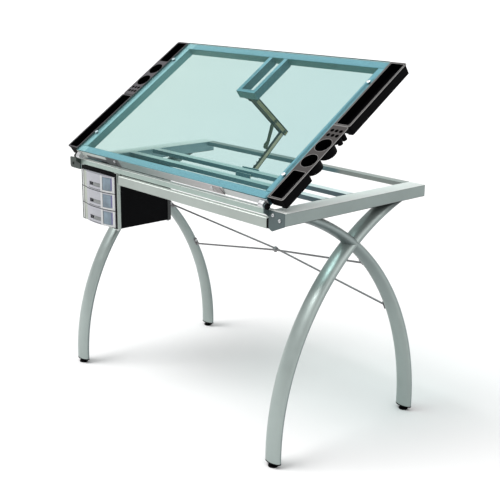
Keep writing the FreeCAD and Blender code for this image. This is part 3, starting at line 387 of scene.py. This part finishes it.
LOOK = {
    "silver_coat": coat_material("silver_coat_look", SILVER, metallic=0.4, roughness=0.36),
    # The top frame's dark teal base is painted shade, as under the glass; its marks add painted light and shade.
    "top_frame": coat_material("top_frame_look", (0.11, 0.175, 0.19), marks=under_glass_painted_light),
    "side_rail": coat_material("side_rail_look", (0.22, 0.265, 0.255), marks=side_rail_painted_light),
    "front_rail": coat_material("front_rail_look", (0.33, 0.37, 0.345),
                                marks=front_rail_painted_highlight),
    "front_rail_upper": coat_material("front_rail_upper_look", (0.32, 0.40, 0.365),
                                      marks=front_rail_painted_highlight),
    "side_rail_left": coat_material("side_rail_left_look", (0.22, 0.265, 0.255),
                                    marks=left_rail_painted_shade),
    "leg_coat": coat_material("leg_coat_look", (0.32, 0.37, 0.355), 0.33, 0.55, bump=0.04,
                              marks=leg_painted_shade),
    "leg_top": coat_material("leg_top_look", (0.32, 0.37, 0.355), 0.33, 0.55, bump=0.04,
                             marks=leg_top_painted_shade),
    "brace_steel": metal_material("brace_steel_look", (0.17, 0.165, 0.17), 0.38, scale=60,
                                  metallic=0.3),
    "far_rail": coat_material("far_rail_look", SILVER, marks=far_rail_painted_shade),
    "cross_rail": coat_material("cross_rail_look", SILVER, marks=cross_rail_painted_shade),
    # The right corner bracket's slate is painted shade, as on a face turned from the light.
    "bracket_painted_shade": coat_material("slate_coat_look", (0.065, 0.092, 0.095), 0.4),
    "left_slate": coat_material("left_slate_look", (0.03, 0.042, 0.036), 0.4),
    "black_coat": coat_material("black_coat_look", (0.012, 0.014, 0.014), 0.36, 0.0, bump=0.1),
    "zinc_steel": metal_material("zinc_steel_look", (0.36, 0.34, 0.185), 0.42, (1, 1, 8), 60,
                                 0.16, metallic=0.75),
    "lower_link": metal_material("lower_link_look", (0.50, 0.43, 0.29), 0.42, (1, 1, 8), 60,
                                 0.16, metallic=0.4,
                                 marks=arm_painted_edge_shade("arm_lower", "arm_upper", 6.2 * MM)),
    "upper_link": metal_material("upper_link_look", (0.29, 0.24, 0.11), 0.42, (1, 1, 8), 60,
                                 0.16, metallic=0.4,
                                 marks=arm_painted_edge_shade("arm_upper", "arm_pawl", 7 * MM)),
    "dark_steel": metal_material("dark_steel_look", (0.06, 0.066, 0.03), 0.4, (1, 1, 8), 60,
                                 0.2, metallic=0.6),
    "pencil_ledge": coat_material("pencil_ledge_look", (0.15, 0.20, 0.19), metallic=0.3,
                                  marks=ledge_painted_reflection),
    # Lit and shaded copies for the glass screws: a near-white painted glint and a dimmer bluish painted shade.
    "lit_screw": metal_material("bright_screw_look", (0.90, 0.92, 0.93), 0.35, scale=60,
                                   metallic=0.2),
    "shaded_screw": metal_material("pale_screw_look", (0.50, 0.62, 0.66), 0.4, scale=60,
                                 metallic=0.2),
    "screw_steel": metal_material("screw_steel_look", (0.62, 0.63, 0.64), 0.35),
    "tinted_glass": glass_material(),
    "black_plastic": plastic_material("black_plastic_look", (0.0015, 0.0015, 0.002), 0.5,
                                      specular=0.04),
    "frosted_plastic": plastic_material("frosted_plastic_look", (0.34, 0.345, 0.375), 0.34,
                                        grain=300, amount=0.05, bump=0.05),
    "frosted_shade": plastic_material("frosted_shade_look", (0.30, 0.33, 0.28), 0.34,
                                      grain=300, amount=0.12, bump=0.05),
    "white_plastic": plastic_material("white_plastic_look", (0.47, 0.48, 0.48), 0.34,
                                      grain=300, amount=0.04, bump=0.05),
    "violet_edge": plastic_material("violet_edge_look", (0.10, 0.09, 0.22), 0.34),
    "tray_black": plastic_material("tray_black_look", (0.0012, 0.0012, 0.0016), 0.55,
                                   specular=0.03, marks=tray_deck_sheen),
    "window_plastic": plastic_material("window_plastic_look", (0.15, 0.20, 0.24), 0.2,
                                       grain=200, amount=0.25, bump=0.05),
    "label_grey": plastic_material("label_grey_look", (0.17, 0.18, 0.18), 0.45),
    # A near black that paints the shade in recesses and gaps: screw crosses, drawer pulls and the pencil ledge's
    # end.
    "recess_shade": plastic_material("recess_dark_look", (0.02, 0.02, 0.024), 0.6),
    "clear_plastic": plastic_material("clear_plastic_look", (0.55, 0.56, 0.56), 0.34),
    # A grey that paints the highlight on the trays' black edges.
    "tray_rim": plastic_material("tray_rim_look", (0.20, 0.195, 0.19), 0.34),
    "tray_rim_dark": plastic_material("tray_rim_dark_look", (0.02, 0.02, 0.02), 0.4,
                                      specular=0.1),
}
SLOTS = {part["node"]: part["material_slot"] for part in frame["record"]["subparts"]}


def dress(node, look):
    """Give the whole of a node one finish."""
    mesh = NODES[node].data
    mesh.materials.clear()
    mesh.materials.append(LOOK[look])
    for face in mesh.polygons:
        face.material_index = 0


# The finishes that differ from the one that a node's own slot calls for.
NODE_LOOKS = {
    "top_frame": ("top_tube_front", "top_tube_back", "top_tube_left", "top_tube_right",
                  "arm_yoke"),
    "cross_rail": ("cross_rail_front", "cross_rail_middle", "arm_base_bracket"),
    "far_rail": ("cross_rail_back",),
    "side_rail": ("side_rail_right",),
    "side_rail_left": ("side_rail_left",),
    "front_rail": ("front_rail_lower",),
    "front_rail_upper": ("front_rail_upper",),
    # painted shade on the right corner bracket
    "bracket_painted_shade": ("corner_bracket_right",),
    "left_slate": ("corner_bracket_left",),
    "brace_steel": ("brace_rod_rising", "brace_rod_falling", "brace_clip"),
    "pencil_ledge": ("pencil_ledge",),
    "lower_link": ("arm_lower_link",),
    "upper_link": ("arm_upper_link",),
    "dark_steel": ("arm_pawl", "arm_pins", "arm_base_pin", "arm_head_bracket"),
    "tray_black": ("tray_organizer_left", "tray_organizer_right", "tray_long_left",
                   "tray_long_right"),
}
for node, slot in SLOTS.items():
    dress(node, slot)
for look, nodes in NODE_LOOKS.items():
    for node in nodes:
        dress(node, look)


def soften(node, width):
    """Break a node's sharp edges, so that they catch the light."""
    item = NODES[node]
    weld = item.modifiers.new("weld", "WELD")
    weld.merge_threshold = 1e-5
    bevel = item.modifiers.new("bevel", "BEVEL")
    bevel.width = width
    bevel.segments = 2
    bevel.limit_method = "ANGLE"
    bevel.angle_limit = math.radians(35)
    bevel.use_clamp_overlap = True


for node in NODES:
    if node.startswith(("cabinet_wall", "cabinet_roof", "cabinet_hanger", "corner_bracket")):
        soften(node, 0.5 * MM)

# ------------------------------------------------------------------- geometry


def piece(name, mesh, look, body, smooth=True, bevel=0.0):
    """A named piece on a body, in a given finish."""
    item = bpy.data.objects.new(name, mesh)
    bpy.context.scene.collection.objects.link(item)
    mesh.materials.append(LOOK[look])
    if smooth:
        mesh.shade_smooth()
    if bevel:
        soft = item.modifiers.new("bevel", "BEVEL")
        soft.width = bevel
        soft.segments = 2
        soft.limit_method = "ANGLE"
        soft.angle_limit = math.radians(40)
    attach(item, body)
    return item


def mesh_of(name, points, faces):
    mesh = bpy.data.meshes.new(name)
    mesh.from_pydata([tuple(point) for point in points], [], faces)
    mesh.validate()
    mesh.update()
    work = bmesh.new()
    work.from_mesh(mesh)
    bmesh.ops.recalc_face_normals(work, faces=work.faces)
    work.to_mesh(mesh)
    work.free()
    return mesh


def pipe(name, path, radius, sides=10):
    """A round bead along a closed path of points."""
    count = len(path)
    points, faces = [], []
    for index, here in enumerate(path):
        along = (path[(index + 1) % count] - path[index - 1]).normalized()
        guide = OFF_GLASS if abs(along.dot(OFF_GLASS)) < 0.9 else UP_SLOPE
        across = along.cross(guide).normalized()
        upward = across.cross(along)
        for step in range(sides):
            turn = 2 * math.pi * step / sides
            points.append(here + across * (radius * math.cos(turn))
                          + upward * (radius * math.sin(turn)))
    for index in range(count):
        first = index * sides
        second = ((index + 1) % count) * sides
        for step in range(sides):
            after = (step + 1) % sides
            faces.append((first + step, first + after, second + after, second + step))
    return mesh_of(name, points, faces)


def prism(name, outline, matrix, thickness):
    """A flat outline (x, y) given a thickness along its own z."""
    count = len(outline)
    points = [matrix @ Vector((x, y, 0)) for x, y in outline]
    points += [matrix @ Vector((x, y, thickness)) for x, y in outline]
    faces = [tuple(range(count)), tuple(range(count, 2 * count))]
    for index in range(count):
        after = (index + 1) % count
        faces.append((index, after, count + after, count + index))
    return mesh_of(name, points, faces)


def lathe(name, profile, matrix, segments=48):
    """A profile of (radius, height) turned about its own z axis."""
    points, faces = [], []
    for radius, height in profile:
        for step in range(segments):
            turn = 2 * math.pi * step / segments
            points.append(matrix @ Vector((radius * math.cos(turn), radius * math.sin(turn),
                                           height)))
    for index in range(len(profile) - 1):
        for step in range(segments):
            after = (step + 1) % segments
            first, second = index * segments, (index + 1) * segments
            faces.append((first + step, first + after, second + after, second + step))
    faces.append(tuple(range(segments))[::-1])
    last = (len(profile) - 1) * segments
    faces.append(tuple(range(last, last + segments)))
    return mesh_of(name, points, faces)


def rounded_corners(corners, steps=6):
    """Points round a closed outline of (x, y, radius) corners."""
    path = []
    for index, (x, y, radius) in enumerate(corners):
        here = Vector((x, y))
        before = Vector(corners[index - 1][:2])
        after = Vector(corners[(index + 1) % len(corners)][:2])
        if not radius:
            path.append(here)
            continue
        back, ahead = (before - here).normalized(), (after - here).normalized()
        half = back.angle(ahead) / 2
        reach = radius / math.tan(half)
        centre = here + (back + ahead).normalized() * (radius / math.sin(half))
        start, end = here + back * reach - centre, here + ahead * reach - centre
        sweep = math.atan2(start.x * end.y - start.y * end.x, start.dot(end))
        for step in range(steps + 1):
            turn = sweep * step / steps
            path.append(centre + Vector((start.x * math.cos(turn) - start.y * math.sin(turn),
                                         start.x * math.sin(turn) + start.y * math.cos(turn))))
    return path


def axis_matrix(point, direction):
    """A placement whose own z axis runs along a direction."""
    turn = Vector((0, 0, 1)).rotation_difference(direction).to_matrix().to_4x4()
    return Matrix.Translation(point) @ turn


def slanted(points, height=0.0):
    """Points of a flat outline (x, s) carried onto the top's own frame."""
    return [top_point(x, s, height) for x, s in points]


# ----------------------------------------------------------------------- legs

LEG_RADIUS = 750 * MM       # to the middle of the tube
LEG_HALF_DEPTH = 15 * MM
LEG_WALL = 2 * MM
LEG_SPRING = 13 * MM        # from the plug up to the centre of the arc
LEG_CROSSING = 453 * MM     # from the centre of the arc back to the crossing
CROSSING = math.degrees(math.acos(LEG_CROSSING / LEG_RADIUS))
CROSSING_GAP = 0.25         # degrees left open each side of the crossing


def swept_leg(node, foot, span):
    """A curved oval tube, cut level at its foot and at the rail above it.

    foot is -1 for a leg that stands at the front and 1 for one at the back.
    span is the stretch of arc in degrees, None at an end that is cut level.
    """
    low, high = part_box(node)
    lowest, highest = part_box("leg_back_foot_right")
    springing = lowest.z + LEG_SPRING
    centre_x = (low.x + high.x) / 2
    half_width = (high.x - low.x) / 2
    centre_y = highest.y - LEG_HALF_DEPTH - LEG_RADIUS
    around, along = 56, 96
    points, faces = [], []
    for skin in (0, LEG_WALL):
        for step in range(around):
            turn = 2 * math.pi * step / around
            x = centre_x + (half_width - skin) * math.cos(turn)
            reach = LEG_RADIUS + (LEG_HALF_DEPTH - skin) * math.sin(turn)
            first = (math.asin((low.z - springing) / reach) if span[0] is None
                     else math.radians(span[0]))
            last = (math.asin((high.z - springing) / reach) if span[1] is None
                    else math.radians(span[1]))
            for index in range(along + 1):
                bend = first + (last - first) * index / along
                points.append((x, foot * (centre_y + reach * math.cos(bend)),
                               springing + reach * math.sin(bend)))
    row = along + 1
    inner = around * row
    for step in range(around):
        here, after = step * row, (step + 1) % around * row
        for index in range(along):
            quad = (here + index, after + index, after + index + 1, here + index + 1)
            faces.append(quad)
            faces.append(tuple(inner + corner for corner in reversed(quad)))
        faces.append((here, inner + here, inner + after, after))
        faces.append((here + along, after + along, inner + after + along,
                      inner + here + along))
    mesh = mesh_of(node + "_tube", points, faces)
    look = "leg_top" if node.startswith("leg_top") else "leg_coat"
    item = piece(node + "_tube", mesh, look, "base")
    mesh.set_sharp_from_angle(angle=math.radians(40))
    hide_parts(node)


for side in ("left", "right"):
    swept_leg("leg_back_foot_" + side, 1, (None, None))
    swept_leg("leg_front_foot_" + side, -1, (None, CROSSING - CROSSING_GAP))
    swept_leg("leg_top_" + side, -1, (CROSSING + CROSSING_GAP, None))


# ---------------------------------------------------------------- tray rims

RIM = 0.9 * MM              # radius of the bead round a tray
WELL_RIM = 0.7 * MM
RING = 0.6 * MM
WELL_INSET = 5.5 * MM       # from a tray's edge to its well
BIN_LENGTH = 116 * MM
BIN_WALL = 2.75 * MM
CUP_PLACES = (41 * MM, 107 * MM)    # from the bin's end to the cups' centres
CUP_RADIUS = 26.5 * MM


def tray_rims(node, organizer):
    """Beads round a tray and round each of its wells: grey on the right trays as a painted highlight on their
    black edges, dark on the left.
    """
    low, high = top_box(node)
    side = 1 if low.x > 0 else -1
    inner, outer = (low.x, high.x) if side > 0 else (high.x, low.x)
    start, end = (low.y, high.y) if side > 0 else (high.y, low.y)
    onward = side
    # The right trays' grey beads are a painted highlight; the left trays' stay dark.
    look = "tray_rim" if side > 0 else "tray_rim_dark"

    def bead(label, path, sunk, radius):
        name = "%s_%s" % (node, label)
        piece(name, pipe(name, slanted(path, -sunk), radius), look, node)

    def frame_of(inset, far_end, inner_radius, outer_radius):
        near_end = start + onward * inset
        return rounded_corners([(inner + side * inset, near_end, inner_radius),
                                (outer - side * inset, near_end, outer_radius),
                                (outer - side * inset, far_end, outer_radius),
                                (inner + side * inset, far_end, inner_radius)])

    edge = 0.6 * MM
    bead("rim", frame_of(edge, end - onward * edge, MM, 6.4 * MM), 0.2 * MM, RIM)
    if organizer:
        well_end = start + onward * (BIN_LENGTH - BIN_WALL)
    else:
        well_end = end - onward * WELL_INSET
    bead("well_rim", frame_of(WELL_INSET, well_end, WELL_INSET, WELL_INSET), 0.2 * MM,
         WELL_RIM)
    if not organizer:
        return
    x = (inner + outer) / 2 - side * MM
    for index, place in enumerate(CUP_PLACES):
        s = start + onward * (BIN_LENGTH + place)
        turns = [2 * math.pi * step / 40 for step in range(40)]
        circle = [Vector((x + CUP_RADIUS * math.cos(turn), s + CUP_RADIUS * math.sin(turn)))
                  for turn in turns]
        bead("ring_%d" % index, circle, 0.1 * MM, RING)


for side in ("left", "right"):
    tray_rims("tray_organizer_" + side, True)
    tray_rims("tray_long_" + side, False)


# --------------------------------------------------------------- pencil ledge

def ledge_end_shadow():
    """A thin dark slanted sheet at the pencil ledge's right end, painted as the shadow in the gap there."""
    low, high = top_box("pencil_ledge")
    place = TOP_MATRIX @ Matrix.Translation((0, low.y, 0)) @ Matrix.Rotation(
        math.pi / 2, 4, "X")
    right, bottom = high.x, low.z
    foot, head = bottom + 0.5 * MM, -2 * MM
    bar = [(right - 4.2 * MM, foot), (right - 1.2 * MM, foot), (right - 9.8 * MM, head),
           (right - 12 * MM, head)]
    piece("pencil_ledge_end", prism("pencil_ledge_end", bar, place, 0.3 * MM), "recess_shade",
          "pencil_ledge", smooth=False)


ledge_end_shadow()

# -------------------------------------------------------------- drawer fronts

DRAWER_BOW = 16 * MM        # how far the front's middle stands out past its ends
PATCH_DEPTH = 1.2 * MM


def drawer_front(name):
    """A moulded skin over a drawer's bowed front: rib, window, label and lip."""
    node = "drawer_" + name
    low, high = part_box(node)
    left, right = low.x, high.x
    bottom, top = low.z, high.z
    middle = (left + right) / 2
    half = (right - left) / 2
    radius = (half ** 2 + DRAWER_BOW ** 2) / (2 * DRAWER_BOW)

    def surface(x):
        return low.y + radius - math.sqrt(radius ** 2 - (x - middle) ** 2)

    def patch(label, x0, x1, z0, z1, out, look, curve=0.0):
        """A bowed panel standing out from the front by a little."""
        columns, rows = 14, 6
        points, faces = [], []
        for layer in (0, 1):
            for i in range(columns + 1):
                for j in range(rows + 1):
                    u, v = i / columns, j / rows
                    x = x0 + (x1 - x0) * u
                    z = z0 + (z1 - z0) * v
                    swell = curve * (1 - (2 * v - 1) ** 4) * (1 - (2 * u - 1) ** 4)
                    y = surface(x) - (out + swell if layer else out - PATCH_DEPTH)
                    points.append((x, y, z))
        step = rows + 1
        layer_size = (columns + 1) * step
        for i in range(columns):
            for j in range(rows):
                first = i * step + j
                quad = (first, first + 1, first + step + 1, first + step)
                faces.append(quad)
                faces.append(tuple(layer_size + index for index in reversed(quad)))
        rim = ([i * step for i in range(columns + 1)]
               + [columns * step + j for j in range(1, rows + 1)]
               + [i * step + rows for i in range(columns - 1, -1, -1)]
               + list(range(rows - 1, 0, -1)))
        for index, first in enumerate(rim):
            after = rim[(index + 1) % len(rim)]
            faces.append((first, after, layer_size + after, layer_size + first))
        full = "%s_%s" % (node, label)
        piece(full, mesh_of(full, points, faces), look, node,
              bevel=0.35 * MM)

    rib, rib_end = left + 132 * MM, left + 142 * MM
    window_end, violet = left + 186 * MM, left + 179 * MM
    shade, shade_end = left + 13 * MM, left + 42 * MM
    pull_left = left + 65 * MM
    pull_low, pull_high = bottom + 12.5 * MM, bottom + 25.6 * MM
    label_left = left + 88 * MM
    window_high = top - 4.5 * MM
    skin, rim_skin = 1.6 * MM, 2.2 * MM
    # The frosted face is in panels round the pull and the window.
    patch("edge_left", left, shade, bottom, top, rim_skin, "white_plastic")
    patch("shade_left", shade, shade_end, bottom, top, 0.5 * MM, "frosted_shade",
          curve=0.5 * MM)
    patch("panel_left", shade_end, pull_left, bottom, top, skin, "frosted_plastic")
    patch("panel_over_pull", pull_left, rib, pull_high, top, skin, "frosted_plastic")
    patch("panel_under_pull", pull_left, rib, bottom, pull_low, skin, "frosted_plastic")
    patch("rib", rib, rib_end, bottom, top, 2.6 * MM, "white_plastic")
    patch("window", rib_end, violet, bottom + 6 * MM, window_high, 0.8 * MM,
          "window_plastic", curve=0.5 * MM)
    patch("window_edge", violet, window_end, bottom + 9 * MM, window_high, 0.6 * MM,
          "violet_edge")
    patch("window_sill", rib_end, window_end, bottom, bottom + 6 * MM, rim_skin,
          "white_plastic")
    patch("window_head", rib_end, window_end, window_high, top, 1.8 * MM,
          "frosted_plastic")
    patch("rim_right", window_end, right, bottom, top, rim_skin, "white_plastic")
    patch("label", label_left, rib, pull_low + 0.5 * MM, pull_high - 0.5 * MM,
          0.6 * MM, "label_grey")
    # The pull's sunk floor, the strip at its left and the lip below it are painted near black: painted shade in
    # the recess and painted shadow under the lip.
    patch("pull_floor", pull_left + 4.5 * MM, label_left + 3 * MM, pull_low + MM,
          pull_high - MM, -5 * MM, "recess_shade")
    patch("pull_shadow", pull_left, pull_left + 5 * MM, pull_low, pull_high, 0.2 * MM,
          "recess_shade")
    patch("pull_lip_shadow", pull_left - 5 * MM, rib - 2 * MM, bottom + 2.8 * MM,
          bottom + 4.6 * MM, 1.9 * MM, "recess_shade")


for name in ("bottom", "middle", "top"):
    drawer_front(name)


# --------------------------------------------------------------- screw heads

FRAME_HEAD = 4.8 * MM       # radius of the heads on the frame and the braces
GLASS_HEAD = 5.8 * MM
SHORT_SCREW = 6 * MM        # frame screws that run back are shorter than this in Y
LEFT_BRACKET = -480 * MM    # the left bracket's screws lie further left than this
LEDGE_SCREWS = 20 * MM      # the ledge's guide screws lie lower on the slope
GLASS_HEAD_RISE = 2.5 * MM  # of the glass screws' plain heads over the glass


def screw_head(name, point, direction, radius, look, body, height=1.1 * MM):
    """A domed head with a dark cross that paints the shade in its recess, over a plain one."""
    place = axis_matrix(point, direction)
    dome = [(radius, 0), (radius, 0.25 * height), (radius * 0.85, 0.7 * height),
            (radius * 0.5, 0.95 * height), (radius * 0.05, height)]
    piece(name, lathe(name, dome, place, 28), look, body)
    for index, turn in enumerate((0, math.pi / 2)):
        arm, width = radius * 0.55, radius * 0.11
        bar = [(-arm, -width), (arm, -width), (arm, width), (-arm, width)]
        cross = place @ Matrix.Rotation(turn + 0.4, 4, "Z") @ Matrix.Translation(
            (0, 0, height * 0.7))
        label = "%s_cross_%d" % (name, index)
        piece(label, prism(label, bar, cross, height * 0.36), "recess_shade", body,
              smooth=False)


def solids_of(node):
    """The boxes of a node's separate solids, as (low, high)."""
    mesh = NODES[node].data
    work = bmesh.new()
    work.from_mesh(mesh)
    bmesh.ops.remove_doubles(work, verts=work.verts, dist=1e-6)
    seen, boxes = set(), []
    for start in work.verts:
        if start.index in seen:
            continue
        stack, members = [start], []
        seen.add(start.index)
        while stack:
            here = stack.pop()
            members.append(here.co.copy())
            for edge in here.link_edges:
                other = edge.other_vert(here)
                if other.index not in seen:
                    seen.add(other.index)
                    stack.append(other)
        boxes.append((Vector(min(p[i] for p in members) for i in range(3)),
                      Vector(max(p[i] for p in members) for i in range(3))))
    work.free()
    return boxes


def frame_screw_heads():
    """Heads on the frame's screws; those of the left bracket are blackened."""
    mesh = NODES["frame_screws"].data
    mesh.materials.append(LOOK["black_coat"])
    for face in mesh.polygons:
        face.material_index = int(face.center.x < LEFT_BRACKET)
    for index, (low, high) in enumerate(solids_of("frame_screws")):
        centre = (low + high) / 2
        if high.y - low.y < SHORT_SCREW:
            point, way = Vector((centre.x, low.y, centre.z)), Vector((0, -1, 0))
        else:
            point, way = Vector((centre.x, centre.y, low.z)), Vector((0, 0, -1))
        look = "black_coat" if centre.x < LEFT_BRACKET else "screw_steel"
        screw_head("frame_screw_%d" % index, point, way, FRAME_HEAD, look, "base")


def brace_bolt_heads():
    """Heads on the brace bolts, on the sides that face the table's middle."""
    for index, (low, high) in enumerate(solids_of("brace_bolts")):
        centre = (low + high) / 2
        inward = -1 if centre.x > 0 else 1
        point = Vector((low.x if inward < 0 else high.x, centre.y, centre.z))
        screw_head("brace_bolt_%d" % index, point, Vector((inward, 0, 0)), FRAME_HEAD,
                   "screw_steel", "base")


def glass_screw_heads():
    """Heads on the glass screws, but not on the ledge's two guide screws."""
    for index, (low, high) in enumerate(solids_of("top_screws")):
        centre = TOP_MATRIX.inverted() @ ((low + high) / 2)
        if centre.y > LEDGE_SCREWS:
            # The right-hand heads are a near-white painted glint; the left-hand ones are a dimmer bluish copy,
            # painted as in shade.
            look = "lit_screw" if centre.x > 0 else "shaded_screw"
            screw_head("glass_screw_%d" % index, top_point(centre.x, centre.y, GLASS_HEAD_RISE),
                       OFF_GLASS, GLASS_HEAD, look, "top")


frame_screw_heads()
brace_bolt_heads()
glass_screw_heads()


# ---------------------------------------------------------------- floor, light

def floor():
    """A plain pale floor that runs out past the view."""
    mesh = bpy.data.meshes.new("floor")
    reach = 300
    mesh.from_pydata([(-reach, -reach, 0), (reach, -reach, 0), (reach, reach, 0),
                      (-reach, reach, 0)], [], [(0, 1, 2, 3)])
    item = bpy.data.objects.new("floor", mesh)
    bpy.context.scene.collection.objects.link(item)
    tree = Tree("floor_look")
    tone = mottled(tree, (0.70, 0.70, 0.70), 0.01, 0.5)
    shader = tree.add("ShaderNodeBsdfDiffuse", Color=tone)
    mesh.materials.append(tree.finish(shader.outputs[0]))


def backdrop():
    """A studio sky: white at the horizon, a grey band, then a bright ceiling."""
    world = bpy.data.worlds.new("studio")
    bpy.context.scene.world = world
    world.use_nodes = True
    nodes, links = world.node_tree.nodes, world.node_tree.links
    light = nodes["Background"]
    light.inputs["Strength"].default_value = 1.0
    spread = nodes.new("ShaderNodeTexCoord")
    split = nodes.new("ShaderNodeSeparateXYZ")
    sky = nodes.new("ShaderNodeValToRGB")
    links.new(spread.outputs["Generated"], split.inputs[0])
    links.new(split.outputs["Z"], sky.inputs["Fac"])
    links.new(sky.outputs["Color"], light.inputs["Color"])
    levels = ((0.0, 1.0), (0.05, 1.0), (0.14, 0.42), (0.5, 0.55), (0.95, 1.3))
    while len(sky.color_ramp.elements) < len(levels):
        sky.color_ramp.elements.new(0.5)
    for point, (height, level) in zip(sky.color_ramp.elements, levels):
        point.position = height
        point.color = (level, level, level, 1)


def lamp(name, spot, spread, power):
    """A soft distant light that shines from a direction onto the table."""
    light = bpy.data.lights.new(name, "SUN")
    light.angle = math.radians(spread)
    light.energy = power
    item = bpy.data.objects.new(name, light)
    bpy.context.scene.collection.objects.link(item)
    item.location = spot
    item.rotation_euler = (-Vector(spot)).to_track_quat("-Z", "Y").to_euler()


def camera():
    """A view from the front right, a little above the glass's front edge."""
    azimuth, elevation, roll = (math.radians(turn) for turn in (48.18, 15.37, 0.67))
    back = Vector((math.sin(azimuth) * math.cos(elevation),
                   -math.cos(azimuth) * math.cos(elevation), math.sin(elevation)))
    data = bpy.data.cameras.new("camera")
    data.lens = 68.14
    data.sensor_width = 36
    data.shift_x = 0.0037
    data.shift_y = -0.0261
    data.clip_start = 0.05
    data.clip_end = 200
    item = bpy.data.objects.new("camera", data)
    bpy.context.scene.collection.objects.link(item)
    turn = (-back).to_track_quat("-Z", "Y").to_matrix().to_4x4()
    place = Matrix.Translation((2.31934, -2.02149, 1.38055))
    item.matrix_world = place @ turn @ Matrix.Rotation(roll, 4, "Z")
    bpy.context.scene.camera = item


floor()
backdrop()
lamp("key", (-0.5, -0.75, 1.5), 35, 2.5)
lamp("fill", (1.5, -0.3, 1.2), 50, 0.6)
bpy.context.scene.view_settings.view_transform = "Standard"
camera()
